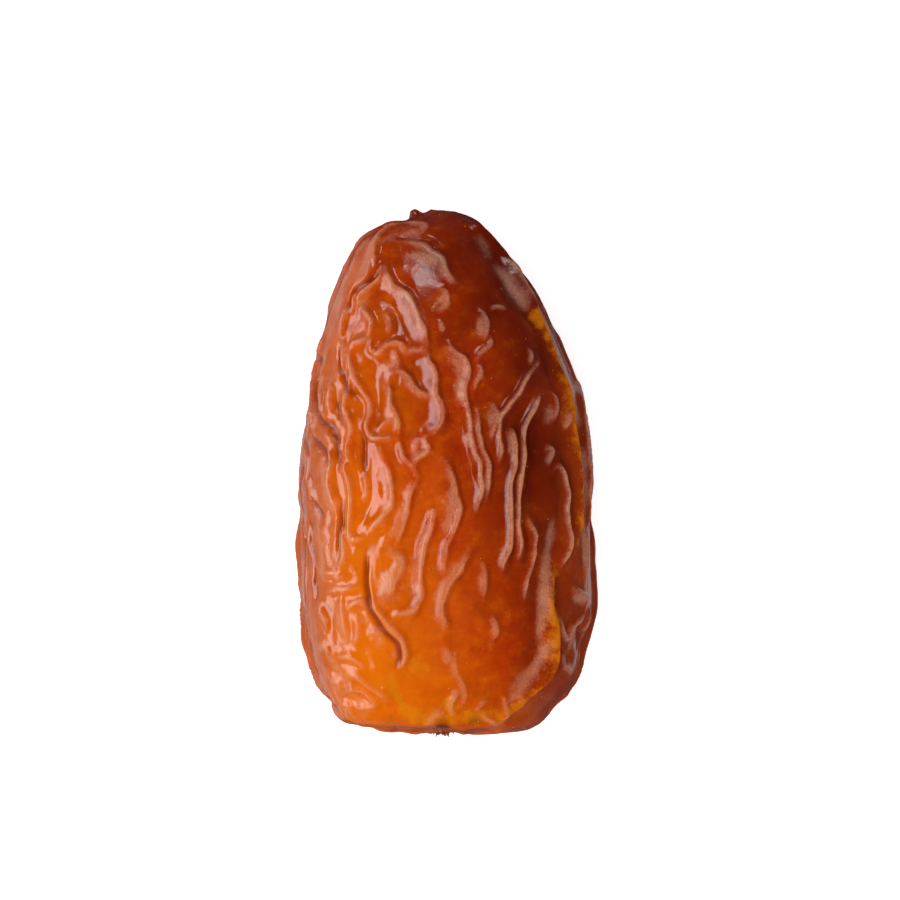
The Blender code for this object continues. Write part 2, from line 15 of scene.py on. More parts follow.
import bpy
import numpy as np
from mathutils import Matrix, Vector, noise
from mathutils.bvhtree import BVHTree


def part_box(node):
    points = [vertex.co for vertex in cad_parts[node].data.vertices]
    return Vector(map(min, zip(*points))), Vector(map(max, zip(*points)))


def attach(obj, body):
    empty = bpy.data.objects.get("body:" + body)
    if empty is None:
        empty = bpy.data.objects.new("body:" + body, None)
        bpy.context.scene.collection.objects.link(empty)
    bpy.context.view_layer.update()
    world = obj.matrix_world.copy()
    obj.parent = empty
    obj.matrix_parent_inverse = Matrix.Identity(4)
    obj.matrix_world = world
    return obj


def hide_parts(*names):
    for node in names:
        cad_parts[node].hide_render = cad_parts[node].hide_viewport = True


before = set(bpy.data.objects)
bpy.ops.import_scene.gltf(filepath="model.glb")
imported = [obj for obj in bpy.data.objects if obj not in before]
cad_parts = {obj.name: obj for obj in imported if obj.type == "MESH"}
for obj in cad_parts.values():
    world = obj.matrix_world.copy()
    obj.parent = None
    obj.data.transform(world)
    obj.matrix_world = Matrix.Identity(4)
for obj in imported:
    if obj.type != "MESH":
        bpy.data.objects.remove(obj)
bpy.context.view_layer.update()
low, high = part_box("date")
MM = 0.001
print("The plain date measures", [round((b - a) / MM, 1) for a, b in zip(low, high)], "mm")

# %% [markdown]
# ## The drawing of the body
# The body is lofted: rings are drawn from the stalk end to the tip, each by its left and its right side as
# seen from above, and every point of the mesh is placed on a smooth blend of them. A lathe or a stretched
# ball would be quicker, but a real date is lopsided, with a straight left flank and a fuller right one.

# %% Rings of the body
LENGTH = 40.0 * MM
PLAN_LENGTH = 527.0  # the drawing's own units, from the stalk end to the tip
PLAN_MIDDLE = (446.5, 472.5)
UNIT = LENGTH / PLAN_LENGTH
THICKNESS_TO_WIDTH = 0.90
SECTION_POWER = 2.4  # 2 is an ellipse, more is squarer
STALK_RISE = 1.5 * MM
STALK_LEAN = 0.12
STALK_REACH = 0.30
REST_PRESS = 0.30 * MM
REST_MIDDLE = (0.0, -3.0 * MM)
REST_REACH = (4.5 * MM, 12.0 * MM)  # across and along, where lying has pressed the folds out
REST_DEPTH = 5.0 * MM
STEPS_ON_RINGS = 24
STEPS_ON_FOLDS = 5
STALK_POINT = (442, 733)
TIP_POINT = (411, 213)

# Each ring is drawn by its left side and its right one.
RINGS = (
    ((443, 735), (443, 735)),
    ((400, 732), (508, 735)),
    ((344, 724), (537, 729)),
    ((329, 702), (551, 710)),
    ((317, 678), (572, 685)),
    ((308, 647), (581, 652)),
    ((304, 612), (591, 613)),
    ((303, 570), (590, 570)),
    ((302, 520), (590, 520)),
    ((301, 470), (591, 470)),
    ((306, 425), (584, 425)),
    ((316, 383), (570, 382)),
    ((324, 340), (553, 340)),
    ((336, 300), (535, 301)),
    ((349, 269), (511, 269)),
    ((363, 247), (490, 245)),
    ((386, 234), (474, 229)),
    ((411, 224), (456, 218)),
    ((430, 214), (430, 214)),
)


def smooth_line(points, steps):
    """A curve through the points, with this many pieces between each two of them."""
    points = np.asarray(points, dtype=float)
    before = np.vstack([2.0 * points[0] - points[1], points[:-1]])
    after = np.vstack([points[1:], 2.0 * points[-1] - points[-2]])
    line = []
    for i in range(len(points) - 1):
        start, end = points[i], points[i + 1]
        leave, arrive = (after[i] - before[i]) / 2.0, (after[i + 1] - before[i + 1]) / 2.0
        for s in np.arange(steps) / steps:
            near = (1.0 + 2.0 * s) * (1.0 - s) ** 2 * start + s * (1.0 - s) ** 2 * leave
            far = s * s * (3.0 - 2.0 * s) * end + s * s * (s - 1.0) * arrive
            line.append(near + far)
    return np.vstack([line, points[-1:]])


def on_plan(points):
    """Drawing positions in metres, seen from above."""
    points = np.asarray(points, dtype=float)
    return np.column_stack([(points[:, 0] - PLAN_MIDDLE[0]) * UNIT, (PLAN_MIDDLE[1] - points[:, 1]) * UNIT])


def body_points(along, angle):
    """Points of the smooth body: along runs from 0 at the stalk end to 1 at the tip, angle goes round it."""
    left = smooth_line(on_plan([ring[0] for ring in RINGS]), STEPS_ON_RINGS)
    right = smooth_line(on_plan([ring[1] for ring in RINGS]), STEPS_ON_RINGS)
    place = np.linspace(0.0, 1.0, len(left))
    middle = [np.interp(along, place, (left + right)[:, i] / 2.0) for i in (0, 1)]
    reach = [np.interp(along, place, (right - left)[:, i] / 2.0) for i in (0, 1)]
    power = 2.0 / SECTION_POWER
    across = np.sign(np.cos(angle)) * np.abs(np.cos(angle)) ** power
    upward = np.sign(np.sin(angle)) * np.abs(np.sin(angle)) ** power
    z = np.hypot(reach[0], reach[1]) * THICKNESS_TO_WIDTH * upward
    near_stalk = np.clip(1.0 - along / STALK_REACH, 0.0, 1.0) ** 2
    y = middle[1] + reach[1] * across + STALK_LEAN * z * near_stalk
    return np.column_stack([middle[0] + reach[0] * across, y, z + STALK_RISE * near_stalk])


print("The body is drawn with", len(RINGS), "rings")

# %% [markdown]
# The mesh starts as a ball of quads, and each of its points is set on the body by its two angles. A ball has
# no open edge and no seam. Its rings crowd together at the two ends, where the date's smallest pleats are,
# and its points are drawn closer on the upper side, which the camera sees.

# %% The fine ball
AROUND = 372
ALONG = 266
TOP_SHARE = 0.42  # how much closer the points stand on the upper side


def fine_ball(name):
    """A closed ball of quads, with where each of its points goes on the body."""
    ring, step = np.divmod(np.arange((ALONG - 1) * AROUND), AROUND)
    stalk_pole, tip_pole = len(ring), len(ring) + 1
    along = np.concatenate([(ring + 1.0) / ALONG, (0.0, 1.0)])
    from_top = np.concatenate([2.0 * math.pi * step / AROUND - math.pi, (0.0, 0.0)])
    from_top -= TOP_SHARE * np.sin(from_top)
    rows = np.arange(stalk_pole).reshape(-1, AROUND)
    turned = np.roll(rows, -1, axis=1)
    quads = np.stack([rows[:-1], turned[:-1], turned[1:], rows[1:]], axis=-1).reshape(-1, 4).tolist()
    stalk_end = [(stalk_pole, b, a) for a, b in zip(rows[0].tolist(), turned[0].tolist())]
    tip_end = [(a, b, tip_pole) for a, b in zip(rows[-1].tolist(), turned[-1].tolist())]
    mesh = bpy.data.meshes.new(name)
    mesh.from_pydata([(0.0, 0.0, 0.0)] * len(along), [], stalk_end + quads + tip_end)
    made = bpy.data.objects.new(name, mesh)
    bpy.context.scene.collection.objects.link(made)
    return made, along, math.pi / 2.0 - from_top


def place_points(piece, points):
    """Move the points of a mesh."""
    piece.data.vertices.foreach_set("co", points.ravel())
    piece.data.update()


def outward(piece):
    """The outward direction at each point of a mesh."""
    ways = np.empty(len(piece.data.vertices) * 3)
    piece.data.vertices.foreach_get("normal", ways)
    return ways.reshape(-1, 3)


skin, along, angle = fine_ball("date_skin")
smooth_body = body_points(along, angle)
place_points(skin, smooth_body)
body_tree = BVHTree.FromObject(skin, bpy.context.evaluated_depsgraph_get())
print("The fine date has", len(skin.data.vertices), "points")

# %% [markdown]
# ## Folds
# Each ridge of the upper side is drawn as a line where it lies on the real fruit, with its height, the width
# of its left flank and the width of its right one. Noise alone would give a generic wrinkled bean, and
# sculpting could not be read or changed later. A ridge is sharp along its crest and sinks in a long curve to
# the hollow beside it, as skin does that is pinched over soft flesh. Most folds lean, with one steep side.

# %% Folds near the tip
TIP_FOLDS = (
    (0.40, 0.70, 0.25, ((402, 226), (388, 232), (380, 240), (375, 249), (374, 262), (376, 274))),
    (0.22, 0.30, 0.22, ((372, 260), (370, 272), (365, 288))),
    (0.18, 0.80, 0.30, ((400, 228), (414, 229), (425, 233), (420, 244))),
    (0.24, 0.90, 0.30, ((402, 251), (420, 253), (432, 261), (443, 269), (448, 284), (457, 294))),
    (0.26, 0.50, 0.25, ((441, 297), (446, 304), (447, 312), (442, 320), (440, 326))),
    (0.22, 0.40, 0.22, ((437, 331), (442, 335), (444, 342))),
    (0.30, 0.50, 0.30, ((481, 316), (485, 328), (486, 340), (482, 350))),
    (0.16, 0.25, 0.20, ((489, 319), (497, 316), (506, 317))),
    (0.28, 0.60, 0.40, ((502, 268), (514, 284), (528, 303), (540, 318))),
)
SHIELD_FOLDS = (
    (0.53, 0.30, 0.30, ((385, 278), (376, 289), (366, 298), (359, 306), (357, 318))),
    (0.60, 0.85, 0.22, ((385, 277), (390, 288), (400, 298), (409, 306), (416, 318), (421, 330), (426, 342),
        (427, 358))),
    (0.39, 0.35, 0.22, ((361, 312), (366, 321), (371, 330), (370, 346))),
    (0.18, 0.50, 0.35, ((384, 320), (391, 332), (390, 345))),
    (0.53, 0.35, 0.35, ((349, 354), (359, 350), (369, 346))),
    (0.53, 0.40, 0.25, ((370, 346), (372, 357), (379, 362), (385, 357), (391, 352), (401, 353), (410, 362))),
    (0.46, 0.35, 0.25, ((409, 363), (414, 359), (420, 358), (427, 358))),
)
print(len(TIP_FOLDS) + len(SHIELD_FOLDS), "folds near the tip")

# %% Folds of the middle
CELL_FOLDS = (
    (0.55, 0.30, 0.24, ((350, 354), (349, 368), (352, 379), (357, 389), (364, 400), (369, 409), (370, 422),
        (369, 434), (372, 442), (384, 445), (400, 443))),
    (0.34, 0.65, 0.22, ((390, 358), (398, 364), (399, 378))),
    (0.53, 0.65, 0.22, ((390, 386), (391, 397), (392, 409), (396, 419), (399, 429), (400, 443))),
    (0.32, 0.40, 0.25, ((378, 437), (388, 430), (398, 424))),
    (0.51, 0.65, 0.22, ((390, 386), (396, 381), (402, 379), (408, 383), (413, 391), (419, 398), (428, 403),
        (437, 405))),
    (0.60, 0.65, 0.22, ((427, 358), (429, 367), (434, 377), (436, 389), (437, 402), (441, 411), (443, 420),
        (441, 429), (436, 435), (430, 439))),
    (0.53, 0.45, 0.24, ((430, 439), (426, 445), (430, 453), (425, 459), (418, 464), (414, 474))),
    (0.55, 0.35, 0.24, ((400, 443), (402, 452), (404, 461), (409, 468), (415, 475), (419, 482))),
    (0.53, 0.50, 0.22, ((419, 482), (414, 489), (411, 497), (409, 507), (408, 518), (404, 528), (400, 540),
        (398, 548))),
    (0.25, 0.45, 0.25, ((416, 440), (418, 450), (415, 460))),
)
LOOP_FOLDS = (
    (0.53, 0.50, 0.22, ((352, 380), (350, 392), (348, 404), (347, 414), (350, 424), (352, 436), (349, 448),
        (350, 460), (353, 469))),
    (0.53, 0.45, 0.22, ((345, 468), (349, 480), (352, 494), (353, 508), (352, 524), (351, 538), (356, 542),
        (362, 541), (368, 537))),
    (0.53, 0.60, 0.22, ((368, 537), (378, 528), (388, 517), (394, 505), (394, 490), (391, 475), (386, 463))),
    (0.34, 0.45, 0.22, ((383, 548), (390, 542), (396, 533), (401, 522), (405, 508))),
    (0.28, 0.35, 0.25, ((366, 472), (368, 490), (366, 508))),
    (0.28, 0.50, 0.25, ((376, 452), (384, 462), (388, 474))),
)
MIDDLE_FOLDS = (
    (0.46, 0.45, 0.22, ((436, 512), (433, 523), (431, 533), (427, 542), (424, 551), (423, 562), (421, 572),
        (421, 582), (423, 592), (421, 601), (417, 608), (408, 611), (399, 613), (393, 617))),
    (0.48, 0.60, 0.22, ((438, 463), (446, 468), (451, 476), (454, 486), (456, 497), (459, 508), (458, 517),
        (455, 528), (451, 538), (446, 547), (445, 558), (444, 567), (448, 578))),
    (0.52, 0.80, 0.25, ((470, 551), (464, 562), (459, 571), (451, 581), (447, 591), (443, 600), (442, 611),
        (445, 622), (444, 632))),
    (0.50, 0.45, 0.22, ((448, 350), (451, 358), (458, 363), (464, 367), (468, 375), (468, 384), (465, 392),
        (464, 400), (465, 410), (469, 423), (470, 434), (472, 447), (475, 459), (479, 470), (480, 483),
        (480, 494), (477, 504), (473, 518))),
    (0.26, 0.70, 0.22, ((455, 398), (462, 402), (466, 410))),
    (0.24, 0.60, 0.25, ((462, 440), (469, 448), (471, 455))),
    (0.32, 0.40, 0.22, ((489, 344), (490, 352), (484, 358), (478, 366), (476, 372))),
    (0.38, 0.45, 0.22, ((480, 372), (480, 382), (476, 389), (471, 401))),
    (0.42, 0.35, 0.22, ((476, 414), (477, 424), (477, 434), (479, 444), (481, 453), (485, 461), (488, 470),
        (488, 480), (486, 492), (484, 504))),
    (0.36, 0.55, 0.25, ((487, 409), (494, 416), (495, 424), (492, 434), (489, 447))),
    (0.32, 0.55, 0.30, ((481, 562), (484, 574), (484, 586), (482, 600))),
    (0.26, 0.50, 0.30, ((488, 612), (493, 622), (494, 632), (490, 640))),
    (0.28, 0.60, 0.25, ((438, 642), (447, 647), (449, 654), (445, 662))),
)
print(len(CELL_FOLDS) + len(LOOP_FOLDS) + len(MIDDLE_FOLDS), "folds in the middle")

# %% Folds of the left flank
LEFT_FOLDS = (
    (0.38, 0.40, 0.22, ((353, 316), (345, 322), (343, 333), (341, 346))),
    (0.30, 0.30, 0.20, ((357, 300), (354, 309), (353, 319))),
    (0.40, 0.50, 0.25, ((322, 340), (318, 355), (313, 375), (311, 395), (311, 412), (312, 430), (315, 444))),
    (0.38, 0.60, 0.20, ((344, 350), (345, 362), (344, 375), (340, 386))),
    (0.43, 0.60, 0.22, ((333, 388), (331, 404), (332, 418))),
    (0.35, 0.50, 0.22, ((322, 372), (321, 390), (322, 405), (323, 420))),
    (0.40, 0.60, 0.22, ((325, 440), (335, 447), (342, 456))),
    (0.40, 0.80, 0.22, ((327, 452), (331, 462), (333, 474), (332, 490), (337, 505), (347, 516))),
    (0.35, 0.50, 0.22, ((308, 480), (312, 494), (316, 508))),
    (0.43, 0.80, 0.22, ((338, 526), (344, 538), (347, 552), (345, 566), (340, 576))),
    (0.38, 0.35, 0.30, ((323, 574), (334, 575), (342, 579), (352, 580))),
    (0.43, 0.40, 0.30, ((328, 592), (340, 590), (352, 589), (362, 587))),
)
LOWER_LEFT_FOLDS = (
    (0.53, 1.30, 0.25, ((384, 558), (396, 557), (403, 563), (401, 574), (396, 585), (393, 600))),
    (0.51, 0.80, 0.25, ((376, 600), (379, 610), (385, 617), (392, 623), (399, 631), (405, 641), (407, 651),
        (404, 660), (400, 668))),
    (0.34, 0.35, 0.20, ((320, 603), (324, 612), (328, 622), (330, 632))),
    (0.41, 0.55, 0.20, ((343, 600), (345, 615), (347, 628), (350, 642))),
    (0.39, 0.40, 0.30, ((349, 608), (357, 602), (366, 602), (372, 608), (377, 618))),
    (0.34, 0.60, 0.22, ((354, 618), (361, 622), (361, 633), (357, 644))),
    (0.34, 0.40, 0.30, ((369, 633), (379, 629), (390, 632))),
    (0.30, 0.45, 0.25, ((320, 648), (329, 649), (332, 658))),
    (0.34, 0.45, 0.30, ((338, 656), (352, 656), (363, 662), (361, 669))),
    (0.39, 0.45, 0.30, ((350, 675), (360, 676), (369, 685), (379, 691), (390, 695))),
    (0.30, 0.40, 0.25, ((331, 680), (341, 682), (343, 691))),
    (0.37, 0.45, 0.30, ((345, 693), (355, 689), (365, 691), (376, 702), (364, 706), (350, 703))),
    (0.32, 0.45, 0.25, ((341, 703), (351, 706), (352, 718))),
)
print(len(LEFT_FOLDS) + len(LOWER_LEFT_FOLDS), "folds on the left")

# %% Folds of the right side and the stalk end
RIGHT_FOLDS = (
    (0.50, 0.25, 0.50, ((541, 366), (533, 374), (528, 381), (524, 389), (519, 399), (513, 406), (505, 415),
        (499, 422), (497, 432), (498, 445), (499, 458), (498, 470))),
    (0.56, 0.28, 0.50, ((541, 397), (537, 405), (532, 415), (527, 425), (523, 436), (522, 448), (523, 460),
        (522, 472), (519, 486), (517, 498), (516, 512), (516, 524), (517, 538), (518, 552), (516, 562))),
    (0.62, 0.42, 0.40, ((509, 432), (513, 442), (514, 456), (513, 470), (510, 484), (508, 498), (508, 512),
        (509, 526), (508, 540), (507, 552), (503, 563), (499, 573))),
    (0.62, 0.28, 0.50, ((552, 474), (558, 470), (561, 476), (564, 486), (567, 498), (566, 512), (567, 524),
        (569, 536), (569, 546), (566, 556), (562, 565), (559, 573))),
    (0.42, 0.28, 0.40, ((527, 520), (530, 528), (533, 537), (532, 548), (533, 556), (530, 566), (526, 577),
        (524, 588), (522, 602))),
    (0.36, 0.45, 0.30, ((549, 398), (554, 406), (555, 416), (552, 428))),
    (0.28, 0.35, 0.25, ((561, 418), (563, 428), (560, 437))),
    (0.32, 0.40, 0.30, ((543, 450), (550, 455), (547, 464), (544, 470))),
    (0.26, 0.40, 0.30, ((526, 356), (530, 362), (527, 372))),
    (0.45, 0.22, 0.80, ((517, 262), (526, 276), (539, 296), (550, 312), (556, 324), (561, 338), (571, 361),
        (578, 385), (582, 410), (585, 440), (588, 465), (590, 480), (589, 500), (590, 530))),
    (0.35, 0.30, 0.30, ((587, 530), (586, 545), (586, 558), (585, 572), (584, 586))),
)
POUCH_FOLDS = (
    (0.50, 0.45, 0.35, ((571, 588), (578, 594), (584, 600), (590, 604))),
    (0.45, 0.40, 0.35, ((556, 612), (560, 624), (563, 634), (567, 641), (571, 633), (575, 626), (581, 622),
        (586, 614))),
    (0.35, 0.50, 0.30, ((590, 612), (588, 626), (586, 640))),
    (0.30, 0.50, 0.30, ((561, 652), (563, 664), (568, 670), (574, 676))),
)
STALK_END_FOLDS = (
    (0.38, 0.50, 0.25, ((460, 684), (456, 692), (451, 699), (452, 708), (458, 714))),
    (0.36, 0.30, 0.25, ((501, 694), (504, 702), (505, 709), (500, 716))),
    (0.20, 0.40, 0.30, ((484, 697), (480, 703), (476, 708))),
    (0.26, 0.40, 0.30, ((447, 706), (438, 710), (430, 717), (424, 724))),
    (0.22, 0.30, 0.30, ((480, 711), (489, 717), (497, 722))),
    (0.16, 0.50, 0.50, ((455, 645), (453, 662), (459, 676), (464, 692), (462, 702))),
)
# Two broad soft folds run down the right side and round the stalk end.
BEADS = (
    (0.75, 0.70, 0.55, ((470, 222), (492, 243), (508, 262), (522, 286), (540, 313), (553, 342), (562, 372),
        (570, 405), (574, 440), (579, 475), (580, 505), (580, 545))),
    (0.85, 0.75, 0.28, ((556, 568), (553, 585), (552, 600), (554, 615), (557, 630), (558, 645), (557, 660),
        (554, 672), (547, 682), (537, 690), (527, 698), (515, 706))),
    (0.42, 0.60, 0.35, ((530, 696), (515, 707), (500, 715), (488, 720))),
)
# Creases are drawn in the same way, and pressed in.
CREASES = (
    (0.40, 0.25, 0.20, ((513, 262), (520, 278), (533, 297), (545, 312), (552, 328), (560, 345), (569, 368),
        (574, 395), (577, 420), (580, 445), (583, 466), (584, 490), (584, 520), (584, 548))),
    (0.24, 0.36, 0.30, ((396, 249), (411, 249), (428, 252), (438, 256))),
    (0.34, 0.22, 0.22, ((356, 254), (355, 268), (352, 284))),
    (0.34, 0.22, 0.22, ((384, 278), (375, 287), (366, 295), (359, 302), (356, 312), (355, 320))),
    (0.38, 0.22, 0.22, ((347, 350), (346, 364), (348, 378), (352, 388), (356, 398), (364, 408))),
    (0.42, 0.24, 0.24, ((325, 362), (328, 370), (326, 382), (324, 394), (324, 408), (326, 420), (331, 429),
        (339, 434), (343, 446), (345, 458), (349, 468))),
    (0.36, 0.22, 0.22, ((343, 408), (345, 418), (347, 428))),
    (0.36, 0.22, 0.22, ((311, 428), (311, 443), (314, 454), (316, 465), (314, 483), (317, 495), (323, 510),
        (332, 520))),
    (0.36, 0.22, 0.22, ((318, 434), (320, 443), (326, 450), (332, 456), (336, 464), (339, 470))),
    (0.34, 0.22, 0.22, ((306, 465), (309, 475), (307, 492), (309, 510), (312, 518))),
    (0.38, 0.22, 0.22, ((309, 522), (310, 536), (312, 550), (314, 575), (314, 600), (312, 622), (315, 648),
        (320, 668), (327, 686), (336, 704), (345, 709))),
    (0.36, 0.22, 0.22, ((319, 525), (318, 545), (323, 570), (322, 585), (325, 600))),
    (0.38, 0.22, 0.22, ((367, 436), (367, 452), (368, 466), (371, 478))),
    (0.38, 0.22, 0.22, ((349, 506), (349, 522), (347, 538), (346, 550), (348, 562))),
    (0.42, 0.20, 0.20, ((371, 556), (370, 573), (372, 590), (375, 606), (380, 618), (388, 628), (396, 635),
        (401, 641), (402, 650), (400, 662))),
    (0.30, 0.25, 0.25, ((572, 628), (577, 640), (572, 652))),
)
# Hollows are broad and have a soft bottom.
HOLLOWS = (
    (0.38, 1.20, 0.90, ((390, 298), (397, 316), (404, 334), (408, 350))),
    (0.40, 1.00, 0.50, ((378, 370), (378, 390), (379, 410), (377, 432))),
    (0.30, 0.50, 0.60, ((402, 366), (410, 378), (418, 390), (422, 398))),
    (0.40, 1.00, 0.60, ((414, 406), (424, 420), (418, 438), (411, 457))),
    (0.34, 0.70, 0.70, ((362, 470), (368, 490), (368, 512), (362, 528))),
    (0.28, 0.80, 0.30, ((362, 432), (363, 450), (366, 466))),
    (0.30, 0.90, 0.60, ((428, 478), (424, 500), (416, 526), (410, 556), (408, 580))),
    (0.34, 0.80, 0.50, ((452, 408), (458, 432), (462, 462), (468, 492))),
    (0.45, 1.30, 0.60, ((550, 520), (543, 560), (538, 600), (536, 640), (528, 668), (512, 688))),
    (0.40, 1.00, 0.50, ((534, 420), (532, 450), (528, 490), (526, 520))),
    (0.40, 1.00, 0.60, ((502, 290), (514, 308), (530, 330), (542, 360), (550, 390))),
    (0.35, 0.90, 0.50, ((572, 628), (576, 642), (573, 656))),
)
print(len(RIGHT_FOLDS) + len(POUCH_FOLDS) + len(STALK_END_FOLDS), "folds on the right and at the stalk end")

# %% [markdown]
# The drawing is flat, so each line is dropped onto the body from above. A ridge on a steep flank leans out
# past its own foot, and from above it would show too far out. So each point is first set back by the ridge's
# height times the slope there.

# %% Lay the drawn folds on the body
def under(x, y):
    """The place of the upper side below a point of the drawing, and the outward direction there."""
    spot, way = body_tree.ray_cast((x, y, LENGTH), (0.0, 0.0, -1.0))[:2]
    return (spot, way) if spot else body_tree.find_nearest((x, y, 0.0))[:2]


def seen_lines(folds, sign=1.0):
    """The drawn lines, laid on the body so that a ridge as high as this shows where its line was drawn."""
    laid = []
    for height, left, right, points in folds:
        rise = sign * height * MM
        line = []
        for x, y in smooth_line(on_plan(points), STEPS_ON_FOLDS):
            way = under(x, y)[1]
            line.append(under(x - rise * way.x, y - rise * way.y)[0])
        laid.append((height * MM, left * MM, right * MM, np.array(line)))
    return laid


drawn_folds = seen_lines(TIP_FOLDS + SHIELD_FOLDS + CELL_FOLDS + LOOP_FOLDS + MIDDLE_FOLDS + LEFT_FOLDS
                         + LOWER_LEFT_FOLDS + RIGHT_FOLDS + POUCH_FOLDS + STALK_END_FOLDS)
beads = seen_lines(BEADS)
creases = seen_lines(CREASES, -1.0)
hollows = seen_lines(HOLLOWS, -1.0)
print(len(drawn_folds), "ridges,", len(beads), "broad folds and", len(creases), "creases lie on the body")

# %% [markdown]
# The sides and the underside wrinkle in the same way, but no one sees exactly where. There the lines wander
# lengthwise by rule, with a fixed seed, and short pleats gather towards the scar and the tip.

# %% Folds by rule
HIDDEN_SEED = 27
HIDDEN_FOLDS = 84
HIDDEN_HEIGHT = (0.26, 0.46)
HIDDEN_WIDTH = (0.34, 0.52)
STEEPER = 0.6  # width of a hidden fold's right flank to its left one
HIDDEN_START = (0.06, 0.80)  # share of the body's length where a hidden fold begins
HIDDEN_END = 0.93  # and where it ends at the latest
HIDDEN_ANGLES = (-1.02 * math.pi, 0.02 * math.pi)  # round the body, all below its sides
HIDDEN_POINTS = (9, 24)
STEP_ALONG = 0.016
STEP_AROUND = 0.10
FIRST_HEADING = 0.25
HEADING_KEPT = 0.7
HEADING_CHANGE = 0.45
PLEATS = 13
PLEAT_HEIGHT = (0.16, 0.34)
PLEAT_WIDTH = (0.34, 0.50)
PLEAT_ENDS = ((0.022, 0.115, 1.0), (0.955, 0.895, 0.5))  # from, to and share of the height, at each end
PLEAT_POINTS = 6
PLEAT_STRAY = 0.3
PLEAT_SHORTEST = 0.6
PLEAT_TURN = 0.25


def hidden_lines():
    """Folds that start somewhere below the sides and wander towards the tip."""
    rng = random.Random(HIDDEN_SEED)
    laid = []
    for _ in range(HIDDEN_FOLDS):
        at = rng.uniform(*HIDDEN_START)
        turn = -math.pi * rng.uniform(0.0, 1.0)
        heading = rng.uniform(-FIRST_HEADING, FIRST_HEADING)
        steps = rng.randint(*HIDDEN_POINTS)
        trail = []
        for _ in range(steps):
            trail.append((at, turn))
            heading = HEADING_KEPT * heading + rng.uniform(-HEADING_CHANGE, HEADING_CHANGE)
            at = min(at + STEP_ALONG, HIDDEN_END)
            turn = min(max(turn + STEP_AROUND * heading, HIDDEN_ANGLES[0]), HIDDEN_ANGLES[1])
        trail = np.array(trail)
        line = body_points(trail[:, 0], trail[:, 1])
        width = rng.uniform(*HIDDEN_WIDTH) * MM
        laid.append((rng.uniform(*HIDDEN_HEIGHT) * MM, width, STEEPER * width, line))
    return laid


def pleat_lines():
    """Pleats round both ends of the fruit."""
    rng = random.Random(HIDDEN_SEED)
    laid = []
    for start, end, share in PLEAT_ENDS:
        for i in range(PLEATS):
            turn = 2.0 * math.pi * (i + rng.uniform(-PLEAT_STRAY, PLEAT_STRAY)) / PLEATS
            at = np.linspace(start, start + (end - start) * rng.uniform(PLEAT_SHORTEST, 1.0), PLEAT_POINTS)
            turns = turn + rng.uniform(-PLEAT_TURN, PLEAT_TURN) * np.linspace(0.0, 1.0, PLEAT_POINTS)
            width = rng.uniform(*PLEAT_WIDTH) * MM
            laid.append((share * rng.uniform(*PLEAT_HEIGHT) * MM, width, width, body_points(at, turns)))
    return laid


ruled_folds = hidden_lines() + pleat_lines()
print(len(ruled_folds), "folds follow the rule")

# %% [markdown]
# A fold is not cut into the mesh. Each point asks how far it is from each line, and that distance gives the
# height: full on the line, then a long sagging curve down to the flank's width. Where folds meet, their
# heights are joined by a soft maximum, the cube root of the sum of their cubes, so that a crossing does not
# pile up.

# %% Raise the folds
def nearness(points, line, reach):
    """The points near a line: which they are, how far off, how far along it, and how much on its right."""
    box = np.all((points > line.min(axis=0) - reach) & (points < line.max(axis=0) + reach), axis=1)
    chosen = np.flatnonzero(box)
    points = points[chosen]
    gap = np.full(len(points), reach * 2.0)
    run = np.zeros(len(points))
    right = np.zeros(len(points))
    walked = 0.0
    for start, end in zip(line[:-1], line[1:]):
        way = end - start
        length = float(np.linalg.norm(way))
        if length < 1e-9:
            continue
        share = np.clip((points - start) @ way / length ** 2, 0.0, 1.0)
        offset = points - start - share[:, None] * way
        apart = np.linalg.norm(offset, axis=1)
        closer = apart < gap
        gap[closer] = apart[closer]
        run[closer] = walked + share[closer] * length
        right[closer] = offset[closer, 0] / (apart[closer] + 1e-6)
        walked += length
    return chosen, gap, run, right, walked


def crests(points, lines, rounding):
    """Heights of all the folds together: where two meet, the higher one leads."""
    total = np.zeros(len(points))
    for height, left, right, line in lines:
        reach = FOLD_REACH * max(left, right)
        chosen, gap, run, side, length = nearness(points, line, reach)
        fade = min(FOLD_FADE, FADE_SHARE * length)
        ends = np.clip(np.minimum(run, length - run) / fade, 0.0, 1.0)
        ends = END_HEIGHT + (1.0 - END_HEIGHT) * ends * (2.0 - ends)
        flank = (left + right) / 2.0 + (right - left) / 2.0 * side
        apart = (np.hypot(gap, rounding) - rounding) / (FOLD_REACH * flank)
        profile = np.clip(1.0 - apart, 0.0, 1.0) ** FLANK_SAG
        total[chosen] += (height * profile * ends) ** 3
    return np.cbrt(total)


def bump(points, centre, size):
    """A soft round bump, 1 at its centre."""
    return np.exp(-np.sum((points - centre) ** 2, axis=1) / size ** 2)


CREST_ROUNDING = 0.07 * MM
RULED_ROUNDING = 0.17 * MM  # the folds made by rule are softer
BEAD_ROUNDING = 0.11 * MM
HOLLOW_ROUNDING = 0.45 * MM
FOLD_REACH = 1.6  # how many times its width a flank reaches
FLANK_SAG = 1.7
FOLD_FADE = 1.6 * MM  # a fold sinks over this length at each end,
FADE_SHARE = 0.4  # or over this share of a short one,
END_HEIGHT = 0.25  # to this share of its height
WOBBLE = 0.14 * MM
WOBBLE_SIZE = 1.2 * MM
WOBBLE_SEED = 7  # Blender takes this noise's seed from the clock if none is set
CREST_LINE = 0.16 * MM


def wobbled(points):
    """The points moved a little to and fro, so that no drawn line comes out perfectly smooth."""
    scaled = [Vector(spot) for spot in points / WOBBLE_SIZE]
    return points + WOBBLE * np.array([noise.noise_vector(spot) for spot in scaled])


